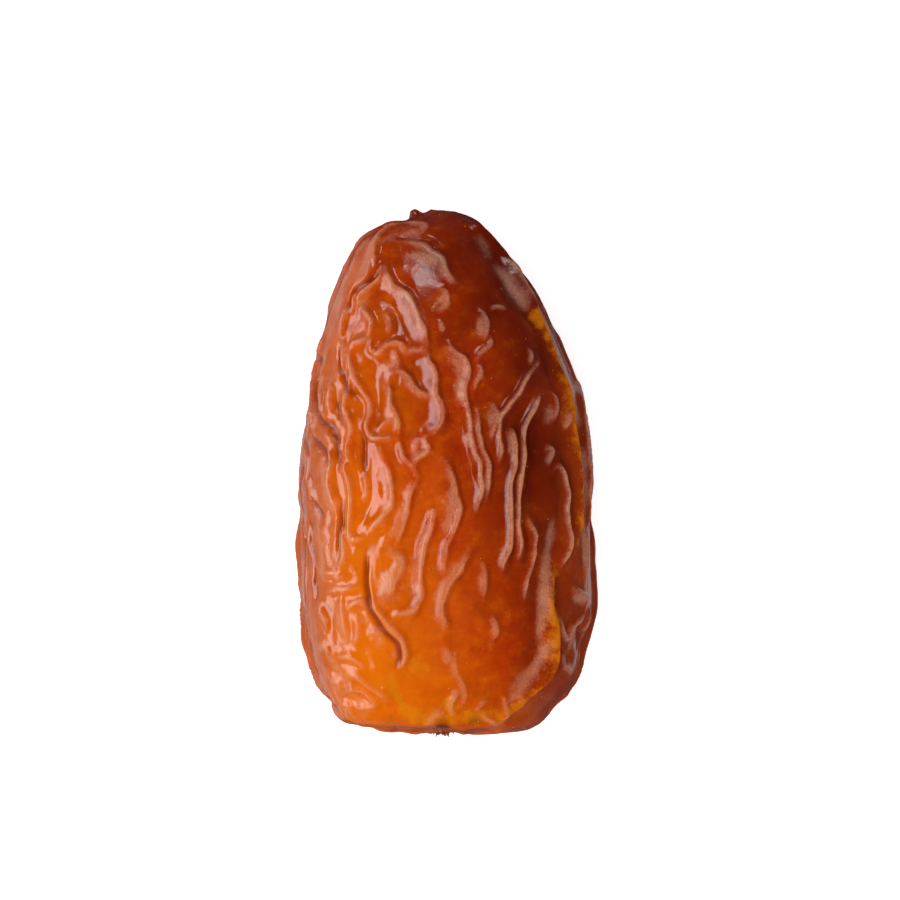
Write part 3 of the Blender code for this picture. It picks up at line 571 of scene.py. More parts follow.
noise.seed_set(WOBBLE_SEED)
uneven_body = wobbled(smooth_body)
ridge_height = crests(uneven_body, drawn_folds, CREST_ROUNDING)
ridge_height = np.cbrt(ridge_height ** 3 + crests(uneven_body, ruled_folds, RULED_ROUNDING) ** 3)
bead_height = crests(uneven_body, beads, BEAD_ROUNDING)
crease_depth = crests(uneven_body, creases, CREST_ROUNDING)
hollow_depth = crests(uneven_body, hollows, HOLLOW_ROUNDING)
crest_lines = [(height, CREST_LINE, CREST_LINE, line) for height, left, right, line in drawn_folds]
crest_nearness = crests(uneven_body, crest_lines, CREST_ROUNDING)
print("The ridges stand up to", round(ridge_height.max() / MM, 2), "mm high")

# %% [markdown]
# Between the ridges the skin is never quite smooth. A fine crinkle, strongest on the left flank and on the
# underside where the skin is loosest, is worked out from noise that is stretched along the fruit.

# %% Crinkle the skin between the folds
CRINKLES = ((0.13, 2.3, 1.5), (0.045, 1.1, 1.4), (0.014, 0.5, 1.2))  # height and size in mm, and stretch
CRINKLE_SHARPNESS = 2.6
WAVE_HEIGHT = 0.14 * MM
WAVE_SIZE = 4.5 * MM
WAVE_STRETCH = 1.5
LOOSE_MIDDLE = 0.35  # looseness on the middle line, and how far to the left and below it becomes full
LOOSE_ACROSS = 9.0 * MM
LOOSE_BELOW = 6.0 * MM
STOUT_MIDDLE = 1.6  # the skin is looser towards the stout stalk end
STOUT_ALONG = 9.0 * MM
STOUT_LEAST = 0.25
TIGHTEST = 0.15


def wander(points, size, stretch):
    """Noise from -1 to 1 at each point, drawn out along the fruit."""
    scaled = points / size * (1.0, 1.0 / stretch, 1.0)
    return np.array([noise.noise(Vector(spot)) for spot in scaled])


def looseness(points):
    """How loose the skin is, from 0 to 1: most on the left flank, the lower left and the underside."""
    leftness = np.clip(LOOSE_MIDDLE - points[:, 0] / LOOSE_ACROSS, 0.0, 1.0)
    underneath = np.clip(-points[:, 2] / LOOSE_BELOW, 0.0, 1.0)
    stout = np.clip(STOUT_MIDDLE - points[:, 1] / STOUT_ALONG, STOUT_LEAST, 1.0)
    return TIGHTEST + (1.0 - TIGHTEST) * stout * np.maximum(leftness, underneath)


loose = looseness(smooth_body)
fine_relief = WAVE_HEIGHT * wander(smooth_body + 0.1, WAVE_SIZE, WAVE_STRETCH)
for height, size, stretch in CRINKLES:
    crinkle = 1.0 - CRINKLE_SHARPNESS * np.abs(wander(smooth_body + size, size * MM, stretch))
    fine_relief += height * MM * loose * crinkle
print("The crinkle moves the skin by up to", round(np.abs(fine_relief).max() / MM, 2), "mm")

# %% [markdown]
# The ends are small, but they tell one end of a date from the other. The tip is a dry point, and the scar is
# a pit with a raised lip. They are round bumps in the same sum of heights, so no second mesh has to be joined
# on. Last, the underside is pressed flat where the date rests.

# %% The tip, the scar and the flat spot
TIP_HEIGHT = 0.62 * MM
TIP_SIZE = 0.34 * MM
SCAR_DEPTH = 0.55 * MM
SCAR_SIZE = 0.85 * MM
SCAR_LIP = 0.22 * MM
LIP_SIZE = 2.0 * SCAR_SIZE
CALM_SIZE = 1.4 * SCAR_SIZE  # no fold runs into the scar


def unpressed(points):
    """0 in the middle of the underside, where lying has pressed the folds out, and 1 away from it."""
    across, along = ((points[:, i] - REST_MIDDLE[i]) / REST_REACH[i] for i in (0, 1))
    return 1.0 - np.exp(-across ** 2 - along ** 2) * np.clip(-points[:, 2] / REST_DEPTH, 0.0, 1.0)


tip_spot, scar_spot = (np.array(body_tree.find_nearest((*on_plan([spot])[0], rise))[0])
                       for spot, rise in ((TIP_POINT, 0.0), (STALK_POINT, STALK_RISE)))
near_scar = bump(smooth_body, scar_spot, SCAR_SIZE)
calm = (1.0 - bump(smooth_body, scar_spot, CALM_SIZE)) * unpressed(smooth_body)
relief = (ridge_height + bead_height - crease_depth - hollow_depth + fine_relief) * calm
relief += TIP_HEIGHT * (1.0 - (1.0 - bump(smooth_body, tip_spot, TIP_SIZE)) ** 3)
relief += SCAR_LIP * bump(smooth_body, scar_spot, LIP_SIZE) - SCAR_DEPTH * near_scar


def press_flat(points):
    """Press the underside flat where the date rests, and set its place over the origin."""
    floor_height = points[:, 2].min() + REST_PRESS
    points[:, 2] = np.maximum(points[:, 2], floor_height)
    middle = (points.min(axis=0) + points.max(axis=0)) / 2.0
    return points - (middle[0], middle[1], floor_height)


dressed_body = press_flat(smooth_body + outward(skin) * relief[:, None])
scar_place = Vector(dressed_body[np.argmax(near_scar)])
place_points(skin, dressed_body)
skin.data.shade_smooth()
print("The dressed date measures", [round(side / MM, 1) for side in skin.dimensions], "mm")

# %% [markdown]
# ## The skin
# The skin is a thin brown film over amber flesh. It is deepest red-brown on the right and near the tip,
# partly its own colour and partly painted shade on the side away from the window, and painted light glows
# orange on the lower left, where light gets through the flesh. Painting the mesh by hand would tie the colour
# to one mesh, so the colour is worked out in the material instead, from the place on the fruit, from noise,
# and from five
# values stored on the mesh: how near each point is to a crest, a crease or the scar, where a painted
# highlight lies on the slopes that face the lights, and how much the flesh glows amber through it.

# %% Store what the skin needs to know
# Where the flesh glows amber through the skin, and where it is dry. First how much, 0.5 being all, then the
# reach on the left and on the right in mm, and the line.
PAINT_HEIGHT = 0.5
GLOWS = (
    (0.40, 1.20, 1.20, ((405, 640), (415, 660), (425, 680))),
    (0.55, 0.85, 0.55, ((533, 312), (545, 328), (553, 345), (560, 365), (566, 385), (569, 405), (571, 425),
        (575, 450), (580, 475), (581, 500), (580, 530), (578, 552))),
    (0.40, 0.90, 0.60, ((478, 232), (494, 246), (508, 264))),
    (0.46, 0.85, 0.40, ((556, 566), (553, 585), (552, 602), (553, 625), (554, 650), (552, 668), (543, 684),
        (528, 696), (510, 708), (492, 722))),
    (0.50, 0.50, 0.50, ((393, 668), (394, 685), (398, 698), (408, 708), (418, 716), (426, 720))),
    (0.70, 0.45, 0.45, ((450, 697), (450, 706), (456, 713))),
    (0.55, 0.70, 0.70, ((400, 700), (412, 712), (428, 722), (444, 718))),
    (0.45, 0.60, 0.60, ((460, 722), (480, 714), (498, 708))),
    (0.32, 1.30, 1.30, ((412, 708), (436, 714), (462, 716), (486, 712), (508, 702))),
    (0.30, 1.00, 1.00, ((386, 664), (392, 684), (402, 700))),
    (0.30, 0.30, 0.30, ((337, 284), (341, 270))),
    (0.30, 0.80, 0.80, ((430, 722), (450, 720), (470, 716), (490, 712))),
)
DRY_PATCHES = (
    (0.60, 0.55, 0.55, ((434, 731), (442, 731), (450, 731))),
    (0.40, 0.30, 0.30, ((450, 731), (468, 732), (487, 731))),
    (0.26, 0.40, 0.40, ((466, 722), (474, 719), (481, 716))),
    (0.30, 0.30, 0.30, ((384, 731), (410, 732), (430, 732))),
)

# Painted highlight, where the skin catches the shine of the lights: the same four things for each place.
SHEEN_PLACES = (
    (0.50, 0.80, 0.80, ((405, 233), (412, 237), (419, 240))),
    (0.50, 0.70, 0.70, ((404, 260), (418, 264), (431, 268), (441, 277))),
    (0.45, 0.30, 0.30, ((443, 281), (450, 289), (454, 293))),
    (0.45, 0.35, 0.30, ((443, 303), (442, 314))),
    (0.50, 0.40, 0.40, ((480, 323), (480, 334), (480, 346))),
    (0.50, 0.90, 0.90, ((376, 240), (368, 254), (362, 270), (356, 286), (350, 300))),
    (0.45, 0.70, 0.70, ((352, 262), (342, 284), (336, 306), (330, 330))),
    (0.45, 0.60, 0.60, ((322, 350), (318, 380), (314, 410), (309, 440), (306, 470))),
    (0.50, 0.60, 0.60, ((396, 292), (408, 306), (416, 322), (421, 338), (423, 350))),
    (0.45, 0.40, 0.40, ((363, 303), (362, 316), (366, 330))),
    (0.30, 0.35, 0.35, ((384, 314), (387, 326))),
    (0.50, 0.60, 0.50, ((449, 358), (457, 372), (460, 388), (459, 404), (462, 414))),
    (0.45, 0.45, 0.40, ((490, 414), (491, 424), (490, 436))),
    (0.45, 0.40, 0.40, ((509, 436), (510, 450), (508, 462))),
    (0.35, 0.60, 0.50, ((550, 408), (549, 420), (546, 432))),
    (0.45, 0.80, 0.60, ((494, 268), (506, 282), (520, 300), (534, 318))),
    (0.28, 0.80, 0.60, ((474, 240), (484, 254), (494, 268))),
    (0.55, 0.55, 0.55, ((522, 278), (538, 302), (551, 326), (561, 348), (570, 376), (577, 404), (582, 434))),
    (0.55, 0.50, 0.50, ((585, 450), (587, 480), (587, 510), (587, 540), (588, 575), (590, 605))),
    (0.50, 1.10, 1.10, ((382, 566), (388, 578), (387, 592), (386, 606))),
    (0.45, 0.50, 0.50, ((392, 622), (398, 636), (398, 650), (394, 662))),
    (0.50, 0.55, 0.45, ((431, 520), (425, 540), (419, 560), (417, 580), (416, 598))),
    (0.50, 0.60, 0.50, ((452, 490), (452, 508), (448, 524), (443, 536))),
    (0.50, 0.50, 0.50, ((464, 557), (456, 567), (448, 580), (441, 596), (439, 612), (440, 628))),
    (0.45, 0.35, 0.35, ((480, 570), (481, 582), (480, 594))),
    (0.45, 0.45, 0.40, ((504, 545), (501, 558), (498, 570))),
    (0.50, 0.55, 0.45, ((556, 520), (553, 540), (549, 560), (545, 580), (543, 600), (542, 625), (541, 648))),
    (0.45, 0.60, 0.50, ((540, 660), (530, 674), (518, 684), (506, 694))),
    (0.45, 0.60, 0.40, ((572, 592), (579, 600), (587, 606))),
    (0.45, 0.40, 0.40, ((566, 636), (574, 630), (583, 626))),
    (0.30, 0.70, 0.50, ((580, 650), (577, 664), (570, 678))),
    (0.45, 0.50, 0.40, ((440, 649), (446, 654), (447, 660))),
    (0.50, 0.30, 0.30, ((456, 687), (452, 694))),
    (0.45, 0.70, 0.70, ((312, 480), (316, 510), (318, 540), (322, 566), (324, 590))),
    (0.45, 0.60, 0.60, ((334, 560), (345, 552), (352, 560))),
    (0.45, 0.60, 0.60, ((330, 600), (338, 616), (346, 632), (354, 650))),
    (0.40, 0.60, 0.60, ((356, 610), (368, 622), (378, 636), (386, 648))),
    (0.40, 0.60, 0.60, ((322, 640), (332, 660), (344, 682), (360, 700))),
    (0.45, 0.50, 0.50, ((354, 698), (364, 703), (374, 706))),
    (0.50, 1.00, 1.00, ((329, 554), (338, 563), (345, 573))),
    (0.50, 0.70, 0.60, ((404, 238), (412, 241), (421, 245))),
    (0.50, 0.55, 0.40, ((549, 638), (545, 655), (537, 669), (527, 682), (516, 694), (505, 705))),
    (0.50, 0.70, 0.60, ((320, 452), (323, 475), (329, 500), (336, 520))),
    (0.45, 0.50, 0.45, ((340, 606), (342, 620), (343, 634))),
    (0.40, 0.60, 0.50, ((570, 656), (574, 641), (578, 628))),
)
SHEEN_SHARE = (0.9, 0.68)  # how much of a left flank gets the painted highlight, on the left half and on the right one
SHEEN_EDGE = 0.12 * MM
CREST_FULL = 0.45 * MM
CREASE_FULL = 0.30 * MM
SCAR_PAINT = 1.2


def store(piece, name, values):
    """Keep one number from 0 to 1 for each point of a mesh under a name."""
    kept = np.clip(values, 0.0, 1.0).astype(np.float32)
    piece.data.attributes.new(name, "FLOAT", "POINT").data.foreach_set("value", kept)


def painted(lines):
    """Where paint follows drawn lines: 1 on a full line, less beside it."""
    return crests(smooth_body, seen_lines(lines), CREST_LINE) / MM / PAINT_HEIGHT


# The crest value places a painted highlight along each crest.
store(skin, "crest", crest_nearness / CREST_FULL)
# A painted highlight on each fold's left flank, which faces the window, and on the listed places; it is
# stored under the name loose.
sheen_flanks = [(PAINT_HEIGHT * MM, SHEEN_SHARE[int(line[:, 0].mean() > 0.0)] * left, SHEEN_EDGE, line)
                for _, left, _, line in drawn_folds]
sheen_flanks = crests(uneven_body, sheen_flanks, CREST_LINE) / MM / PAINT_HEIGHT
store(skin, "loose", np.maximum(sheen_flanks, painted(SHEEN_PLACES)))
store(skin, "amber", painted(GLOWS))
# The crease value places painted shade in the creases.
store(skin, "crease", crease_depth / CREASE_FULL)
store(skin, "scar", np.maximum(SCAR_PAINT * near_scar, painted(DRY_PATCHES)))
print("The mesh holds", [a.name for a in skin.data.attributes if a.data_type == "FLOAT"])

# %% [markdown]
# A material is a web of nodes, and a sum such as side * 52 + length * 17 would take four calls to wire by
# hand. The small class below wraps one output of a node, so that the sum can be written as it is read, and
# each operator adds its own Math node.

# %% Shader sums in Python
class Socket:
    """A node's output that takes part in Python sums, each of which adds the Math node that it needs."""

    def __init__(self, tree, output):
        self.tree = tree
        self.output = output

    def node(self, kind, settings, inputs, output=0):
        """Any node: its settings first, then the values or the links of its sockets."""
        made = self.tree.nodes.new(kind)
        for name, value in settings.items():
            setattr(made, name, value)
        for key, value in inputs.items():
            if isinstance(value, Socket):
                self.tree.links.new(value.output, made.inputs[key])
            else:
                made.inputs[key].default_value = value
        return Socket(self.tree, made.outputs[output]) if made.outputs else None

    def math(self, operation, *others):
        return self.node("ShaderNodeMath", {"operation": operation}, dict(enumerate((self, *others))))

    def __add__(self, other):
        return self.math("ADD", other)

    def __sub__(self, other):
        return self.math("SUBTRACT", other)

    def __mul__(self, other):
        return self.math("MULTIPLY", other)

    def __rsub__(self, other):
        return self.node("ShaderNodeMath", {"operation": "SUBTRACT"}, {0: other, 1: self})

    __radd__ = __add__
    __rmul__ = __mul__

    def between(self, start, end):
        """0 below start, 1 above end, and a soft step between them."""
        return self.node("ShaderNodeMapRange", {"interpolation_type": "SMOOTHSTEP"},
                         {"Value": self, "From Min": start, "From Max": end})

    def blend(self, below, above):
        """The colour below where this is 0, and the colour above where it is 1."""
        return self.node("ShaderNodeMix", {"data_type": "RGBA"}, {0: self, 6: below, 7: above}, 2)

    def noise(self, size, detail, roughness=0.5):
        """Noise on this place, with spots of about this size in metres."""
        return self.node("ShaderNodeTexNoise", {}, {"Vector": self, "Scale": 1.0 / size, "Detail": detail,
                                                    "Roughness": roughness})

    def stored(self, name):
        """A number stored on the mesh."""
        return self.node("ShaderNodeAttribute", {"attribute_name": name}, {}, 2)


def new_material(name):
    """A material, its Principled BSDF, and a socket that holds places on the object."""
    material = bpy.data.materials.new(name)
    material.use_nodes = True
    tree = material.node_tree
    place = Socket(tree, tree.nodes.new("ShaderNodeTexCoord").outputs["Object"])
    return material, tree.nodes["Principled BSDF"], place


def wire(shader, name, value):
    """Set or link one input of a shader."""
    if isinstance(value, Socket):
        value.tree.links.new(value.output, shader.inputs[name])
    else:
        shader.inputs[name].default_value = value


print("Sums of sockets are ready")

# %% [markdown]
# The colour is built in layers, as the eye finds them on the fruit: the broad change from orange to deep
# red-brown, partly own colour and partly painted light and shade, then amber flesh and red veins, then a
# painted highlight on the slopes that face the lights, and last a painted highlight along the crests, painted
# shade in the creases and the dry scar. A single noise between two browns would be quicker, but it would look
# like clay.
# Light goes a little way into the flesh, and the clear skin is smooth enough to mirror the window.

# %% The skin's material
ORANGE = (0.95, 0.200, 0.0005, 1.0)
RUSSET = (0.58, 0.046, 0.0004, 1.0)
MAHOGANY = (0.13, 0.0055, 0.0003, 1.0)
AMBER = (0.86, 0.27, 0.003, 1.0)
BROWN = (0.42, 0.052, 0.004, 1.0)
DRY_RED = (0.20, 0.018, 0.002, 1.0)
DEEP_RED = (0.26, 0.012, 0.001, 1.0)
# Colours of the painted highlights.
PALE_SHEEN = (0.88, 0.38, 0.19, 1.0)
GREY_SHEEN = (0.82, 0.43, 0.29, 1.0)
CLOUD_SIZE = 7.0 * MM
VEIN_SIZE = 1.6 * MM
MOTTLE_SIZE = 1.1 * MM
PORE_SIZE = 0.34 * MM
GRAIN_SIZE = 0.16 * MM
BUMP_HEIGHT = 0.05 * MM
LIGHT_REACH = 1.2 * MM  # how far light spreads in the flesh
LIGHT_COLOUR = (1.0, 0.28, 0.06)


def skin_material():
    """Glossy, slightly see-through date skin."""
    material, shader, place = new_material("date skin")
    spot = place.node("ShaderNodeSeparateXYZ", {}, {0: place})
    side = Socket(place.tree, spot.output.node.outputs[0])
    length = Socket(place.tree, spot.output.node.outputs[1])
    cloud = place.noise(CLOUD_SIZE, 3.0)
    mottle = place.noise(MOTTLE_SIZE, 4.0, 0.6)
    grain = place.noise(GRAIN_SIZE, 2.0, 0.6)
    # Dark on the right and near the tip, partly own colour and partly painted shade away from the window;
    # painted orange light through the flesh on the lower left; brown along both sides and the stalk end.
    dark_skin_and_shade = (side * 52.0 + length * 17.0 + (cloud - 0.5) * 1.4).between(-0.30, 0.70)
    glow = (length * -40.0 - side * 130.0 + (cloud - 0.5) * 1.6).between(-0.4, 1.45)
    colour = dark_skin_and_shade.blend(RUSSET, MAHOGANY)
    colour = glow.blend(colour, ORANGE)
    edge = (side * side * 1.0e4).between(0.30, 1.15)
    colour = (edge * 0.70).blend(colour, BROWN)
    colour = ((length * -1000.0).between(16.8, 19.8) * 0.60).blend(colour, BROWN)
    colour = (mottle.between(0.45, 0.75) * (1.0 - dark_skin_and_shade) * 0.30).blend(colour, ORANGE)
    # Amber flesh under thin skin, and red veins.
    amber = (place.stored("amber") + (mottle - 0.5) * 1.9 + (grain - 0.5) * 0.8).between(0.25, 1.05)
    colour = (amber * 0.68).blend(colour, AMBER)
    veins = place.noise(VEIN_SIZE, 5.0, 0.65)
    colour = (veins.between(0.48, 0.72) * (0.42 - glow * 0.27)).blend(colour, DEEP_RED)
    colour = (veins.between(0.50, 0.34) * (1.0 - dark_skin_and_shade) * 0.22).blend(colour, ORANGE)
    # A painted highlight on the slopes that face the lights, with uneven edges and fine specks, and a painted
    # highlight along each crest.
    patchy = ((grain - 0.5) * 0.7 + (mottle - 0.5) * 1.5) * (1.0 - dark_skin_and_shade * 0.70)
    # The value stored as loose places the painted highlight.
    painted_sheen = (place.stored("loose") + patchy).between(0.20, 1.05)
    speckle = grain.between(0.34, 0.66)
    sheen_colour = (dark_skin_and_shade + edge * 0.6).blend(PALE_SHEEN, GREY_SHEEN)
    strength = (0.36 + dark_skin_and_shade * 0.08 - glow * 0.08) * (0.84 + speckle * 0.32)
    colour = (painted_sheen * strength).blend(colour, sheen_colour)
    crest_highlight = (place.stored("crest") + (grain - 0.5) * 0.8 + (mottle - 0.5) * 0.7).between(0.55, 1.05)
    colour = (crest_highlight * 0.40).blend(colour, PALE_SHEEN)
    # Painted shade in the creases.
    colour = (place.stored("crease") * 0.75).blend(colour, DEEP_RED)
    colour = place.stored("scar").blend(colour, DRY_RED)
    # The skin under the painted highlight is finely rough, and the clear skin is smooth.
    pores = place.noise(PORE_SIZE, 3.0, 0.6)
    height = mottle * 0.4 + pores * 0.3 + grain * (0.5 + painted_sheen * (1.0 - dark_skin_and_shade * 0.8))
    normal = place.node("ShaderNodeBump", {}, {"Height": height, "Strength": 0.5, "Distance": BUMP_HEIGHT})
    wire(shader, "Base Color", colour)
    wire(shader, "Roughness", 0.07 + mottle * 0.10 + painted_sheen * (0.04 + speckle * 0.08))
    wire(shader, "Normal", normal)
    wire(shader, "Subsurface Weight", 0.45)
    wire(shader, "Subsurface Radius", LIGHT_COLOUR)
    wire(shader, "Subsurface Scale", LIGHT_REACH)
    wire(shader, "IOR", 1.45)
    return material


skin.data.materials.append(skin_material())
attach(skin, "root")
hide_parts("date")
print("The skin material has", len(skin.data.materials[0].node_tree.nodes), "nodes")

# %% [markdown]
# ## Torn fibres and fine grains
# Where the stalk was pulled off, a tuft of short stiff fibres is left in the scar. The skin also carries fine
# grains: pale dots of dried sugar and a few dark pores. No one would place hundreds of these by hand. A node
# tree scatters them, each a little different, and the result is kept as a plain mesh.

# %% Grow pieces with Geometry Nodes
def new_tree(name, inputs):
    """A node tree that takes a mesh and these inputs, with a socket for each of them by its name."""
    tree = bpy.data.node_groups.new(name, "GeometryNodeTree")
    tree.interface.new_socket(name="Mesh", in_out="OUTPUT", socket_type="NodeSocketGeometry")
    for label, kind in {"Mesh": "Geometry", **inputs}.items():
        tree.interface.new_socket(name=label, in_out="INPUT", socket_type="NodeSocket" + kind)
    start = tree.nodes.new("NodeGroupInput")
    return tree, {output.name: Socket(tree, output) for output in start.outputs if output.name}


def end_tree(instances, material):
    """Make the scattered copies real and smooth, give them their material and end the tree."""
    real = instances.node("GeometryNodeRealizeInstances", {}, {0: instances})
    smooth = real.node("GeometryNodeSetShadeSmooth", {}, {0: real})
    dressed = smooth.node("GeometryNodeSetMaterial", {}, {"Geometry": smooth, "Material": material})
    dressed.node("NodeGroupOutput", {}, {0: dressed})


def grown(name, ground, tree, values):
    """The plain mesh that a tree makes on a ground mesh."""
    piece = bpy.data.objects.new(name, ground.data)
    bpy.context.scene.collection.objects.link(piece)
    grow = piece.modifiers.new("Grow", "NODES")
    grow.node_group = tree
    for item in tree.interface.items_tree:
        if item.in_out == "INPUT" and item.name in values:
            grow[item.identifier] = values[item.name]
    made = bpy.data.meshes.new_from_object(piece.evaluated_get(bpy.context.evaluated_depsgraph_get()))
    piece.modifiers.clear()
    piece.data = made
    while made.materials[0] is None:
        made.materials.pop(index=0)
    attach(piece, "root")
    print(name, "has", len(made.vertices), "points and", [m.name for m in made.materials])
    return piece


print("Trees can now be grown on a mesh")

# %% [markdown]
# The fibres are short cones with few sides, stood up on a small disc that lies in the scar's pit. Each leans
# its own way. Modelling one and copying it would give a brush, so the length and the lean are drawn at random
# from a fixed seed.

# %% Fibres in the scar
FIBRE_PATCH = 0.62 * MM
PATCH_SIDES = 24
FIBRE_DENSITY = 6.0e7
FIBRE_LENGTH = 0.76 * MM
FIBRE_THICKNESS = 0.13 * MM
FIBRE_SHORTEST = 0.35
FIBRE_LEAN = 0.32
FIBRE_SEED = 5
FIBRE_SIDES = 6
FIBRE_STEPS = 3
FIBRE_TAPER = 0.3
SCAR_TURN = math.radians(68.0)
FIBRE_BROWN = (0.22, 0.026, 0.006, 1.0)
FIBRE_TAN = (0.42, 0.11, 0.03, 1.0)


def fibre_material():
    """Dry matt fibres, paler in places."""
    material, shader, place = new_material("torn fibres")
    wire(shader, "Base Color", place.noise(0.3 * MM, 2.0).between(0.4, 0.7).blend(FIBRE_BROWN, FIBRE_TAN))
    wire(shader, "Roughness", 0.75)
    return material


def fibre_tree():
    """Tapered hairs that lean every way on a small disc."""
    tree, given = new_tree("fibres", {"Density": "Float", "Length": "Float", "Thickness": "Float",
                                      "Lean": "Float", "Seed": "Int"})
    ground, seed = given["Mesh"], given["Seed"]
    spots = ground.node("GeometryNodeDistributePointsOnFaces", {},
                        {"Mesh": ground, "Density": given["Density"], "Seed": seed})
    upright = Socket(tree, spots.output.node.outputs["Rotation"])
    lean = given["Lean"].node("FunctionNodeRandomValue", {"data_type": "FLOAT_VECTOR"},
                              {0: (-1.0, -1.0, -1.0), 1: (1.0, 1.0, 1.0), "Seed": seed})
    lean = lean.node("ShaderNodeVectorMath", {"operation": "SCALE"}, {0: lean, "Scale": given["Lean"]})
    lean = lean.node("FunctionNodeEulerToRotation", {}, {0: lean})
    turned = upright.node("FunctionNodeRotateRotation", {"rotation_space": "LOCAL"}, {0: upright, 1: lean})
    length = seed.node("FunctionNodeRandomValue", {"data_type": "FLOAT"},
                       {2: FIBRE_SHORTEST, 3: 1.0, "Seed": seed + 1}, 1)
    size = length.node("ShaderNodeCombineXYZ", {}, {0: 1.0, 1: 1.0, 2: length})
    hair = ground.node("GeometryNodeMeshCone", {},
                       {"Vertices": FIBRE_SIDES, "Side Segments": FIBRE_STEPS,
                        "Radius Top": given["Thickness"] * FIBRE_TAPER,
                        "Radius Bottom": given["Thickness"], "Depth": given["Length"]})
    copies = spots.node("GeometryNodeInstanceOnPoints", {},
                        {"Points": spots, "Instance": hair, "Rotation": turned, "Scale": size})
    end_tree(copies, fibre_material())
    return tree


bpy.ops.mesh.primitive_circle_add(vertices=PATCH_SIDES, radius=FIBRE_PATCH, fill_type="TRIFAN")
patch = bpy.context.object
patch.data.transform(Matrix.Translation(scar_place) @ Matrix.Rotation(SCAR_TURN, 4, "X"))
grown("scar_fibres", patch, fibre_tree(), {
    "Density": FIBRE_DENSITY, "Length": FIBRE_LENGTH, "Thickness": FIBRE_THICKNESS, "Lean": FIBRE_LEAN,
    "Seed": FIBRE_SEED})
bpy.data.objects.remove(patch)

# %% [markdown]
# The grains are much smaller than a fold, so each is a ball with the fewest faces, half sunk in the skin. One
# stored number for each ball decides whether it is pale sugar or a dark pore.

# %% Grains on the skin
GRAIN_DENSITY = 2.2e5
GRAIN_RADIUS = 0.041 * MM
GRAIN_SCALE = (0.35, 1.15)
GRAIN_FLOOR = 1.0 * MM  # none grows under the date
GRAIN_SEED = 3
GRAIN_ROUNDNESS = 1  # the fewest faces, as hundreds are scattered
SUGAR = (0.92, 0.42, 0.12, 1.0)
PORE_DARK = (0.07, 0.008, 0.002, 1.0)


def grain_material():
    """Pale sugar, or dark where the stored shade is high."""
    material, shader, place = new_material("sugar and pores")
    shade = (place.stored("shade") + (place.noise(0.2 * MM, 1.0) - 0.5) * 0.1).between(0.60, 0.66)
    wire(shader, "Base Color", shade.blend(SUGAR, PORE_DARK))
    wire(shader, "Roughness", 0.25 + shade * 0.4)
    return material


def grain_tree():
    """Small balls, half sunk, scattered over all of a mesh above the floor."""
    tree, given = new_tree("grains", {"Density": "Float", "Radius": "Float", "Floor": "Float", "Seed": "Int"})
    ground, seed = given["Mesh"], given["Seed"]
    place = ground.node("GeometryNodeInputPosition", {}, {})
    height = place.node("ShaderNodeSeparateXYZ", {}, {0: place}, 2)
    above = height.node("FunctionNodeCompare", {"operation": "GREATER_THAN"}, {0: height, 1: given["Floor"]})
    spots = ground.node("GeometryNodeDistributePointsOnFaces", {},
                        {"Mesh": ground, "Selection": above, "Density": given["Density"], "Seed": seed})
    upright = Socket(tree, spots.output.node.outputs["Rotation"])
    size = seed.node("FunctionNodeRandomValue", {"data_type": "FLOAT"},
                     {2: GRAIN_SCALE[0], 3: GRAIN_SCALE[1], "Seed": seed + 1}, 1)
    ball = ground.node("GeometryNodeMeshIcoSphere", {},
                       {"Radius": given["Radius"], "Subdivisions": GRAIN_ROUNDNESS})
    copies = spots.node("GeometryNodeInstanceOnPoints", {},
                        {"Points": spots, "Instance": ball, "Rotation": upright, "Scale": size})
    shade = seed.node("FunctionNodeRandomValue", {"data_type": "FLOAT"}, {"Seed": seed + 2}, 1)
    kept = copies.node("GeometryNodeStoreNamedAttribute", {"data_type": "FLOAT", "domain": "INSTANCE"},
                       {"Geometry": copies, "Name": "shade", "Value": shade})
    end_tree(kept, grain_material())
    return tree


grown("skin_grains", skin, grain_tree(), {
    "Density": GRAIN_DENSITY, "Radius": GRAIN_RADIUS, "Floor": GRAIN_FLOOR, "Seed": GRAIN_SEED})

# %% [markdown]
# ## Table, light and camera
# The date lies on a plain pale table. A large soft light stands low on its left and skims over the folds, so
# that every slope that faces it turns pale while the hollows stay deep. A camera above looks straight down.

# %% Table
TABLE_SIDE = 4.0
TABLE_COLOUR = (0.9, 0.9, 0.9, 1.0)
TABLE_SHADE = (0.7, 0.7, 0.7, 1.0)
TABLE_GLOW = 0.80
WHITE = (1.0, 1.0, 1.0, 1.0)


def plain_material(name, colour, glow):
    """A matt pale surface that gives off a little light of its own, as a lit table top does."""
    material, shader, place = new_material(name)
    grain = place.noise(30.0 * MM, 2.0)
    wire(shader, "Base Color", (grain * 0.02).blend(colour, TABLE_SHADE))
    wire(shader, "Roughness", 0.9)
    wire(shader, "Emission Color", WHITE)
    wire(shader, "Emission Strength", glow)
    return material


bpy.ops.mesh.primitive_plane_add(size=TABLE_SIDE)
table = bpy.context.object
table.name = "table"
table.data.materials.append(plain_material("pale table", TABLE_COLOUR, TABLE_GLOW))
table.visible_glossy = False
print("The table is", table.dimensions.x, "m wide")

# %% [markdown]
# The flesh needs plain light from above to show its colour, and the skin needs something bright to mirror.
# One lamp would have to do both, and its shine would wash the colour out. So the window lights are seen only
# as shine, and the overhead light has no mirror image. Pale cards on the table do the same for the lower
# flanks.

# %% Lights
DATE_MIDDLE = (0.0, 0.0, 10.0 * MM)
CARD_RISE = 0.5 * MM
SKY = (0.9, 0.93, 1.0, 1.0)
SKY_STRENGTH = 0.05


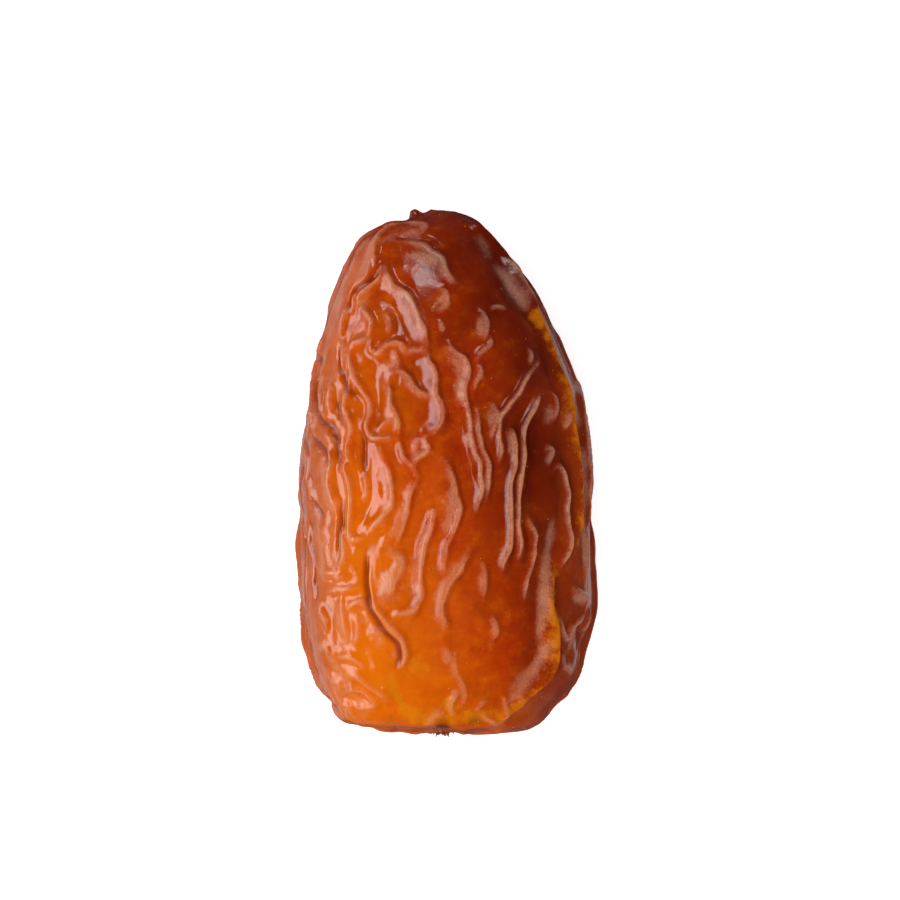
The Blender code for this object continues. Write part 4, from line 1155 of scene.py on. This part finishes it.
def soft_light(name, place, size, watts, mirrored, target=DATE_MIDDLE):
    """A flat soft light that faces the date: a mirrored one shows only as shine, any other as plain light."""
    data = bpy.data.lights.new(name, "AREA")
    data.energy = watts
    data.shape = "RECTANGLE"
    data.size, data.size_y = size
    lamp = bpy.data.objects.new(name, data)
    bpy.context.scene.collection.objects.link(lamp)
    lamp.location = place
    lamp.rotation_euler = (Vector(place) - Vector(target)).to_track_quat("Z", "Y").to_euler()
    lamp.visible_camera = False
    lamp.visible_glossy = mirrored
    lamp.visible_diffuse = not mirrored
    return lamp


def flat_card(name, middle, size, watts):
    """A pale card that lies on the table and throws light up at the flanks of the date."""
    return soft_light(name, (*middle, CARD_RISE), size, watts, True, (*middle, 1.0))


soft_light("window", (-0.26, 0.02, 0.077), (0.36, 0.145), 0.90, True)
soft_light("fill above the tip", (-0.05, 0.30, 0.19), (0.09, 0.07), 0.15, True)
soft_light("overhead", (-0.06, -0.05, 0.28), (0.22, 0.22), 0.70, False)
flat_card("card on the left", (-0.112, 0.0), (0.20, 0.30), 0.08)
flat_card("strip by the right flank", (0.0165, 0.0), (0.004, 0.034), 0.00018)
flat_card("card below the stalk end", (0.0, -0.10), (0.20, 0.15), 0.006)
world = bpy.data.worlds.new("studio")
world.use_nodes = True
world.node_tree.nodes["Background"].inputs["Color"].default_value = SKY
world.node_tree.nodes["Background"].inputs["Strength"].default_value = SKY_STRENGTH
scene = bpy.context.scene
scene.world = world
scene.view_settings.view_transform = "Standard"

# %% [markdown]
# The camera hangs above the date and looks straight down, with a long lens, so that the outline is seen
# nearly without perspective. Its distance follows from the drawing's scale.

# %% Camera
LENS = 110.0  # long, as for a photo of a small thing
IMAGE_SIDE = 900
IMAGE_MIDDLE = (450.0, 450.0)
WIDEST_HEIGHT = 10.0 * MM
camera_data = bpy.data.cameras.new("camera")
camera_data.lens = LENS
camera = bpy.data.objects.new("camera", camera_data)
scene.collection.objects.link(camera)
view_side = IMAGE_SIDE * UNIT
distance = view_side * LENS / camera_data.sensor_width
camera.location = (*on_plan([IMAGE_MIDDLE])[0], WIDEST_HEIGHT + distance)
camera_data.clip_start = 0.01
scene.camera = camera
print("The camera looks down from", round(distance, 3), "m")

# %% [markdown]
# The date is dressed.

# %% The last line
print("The scene is set up")
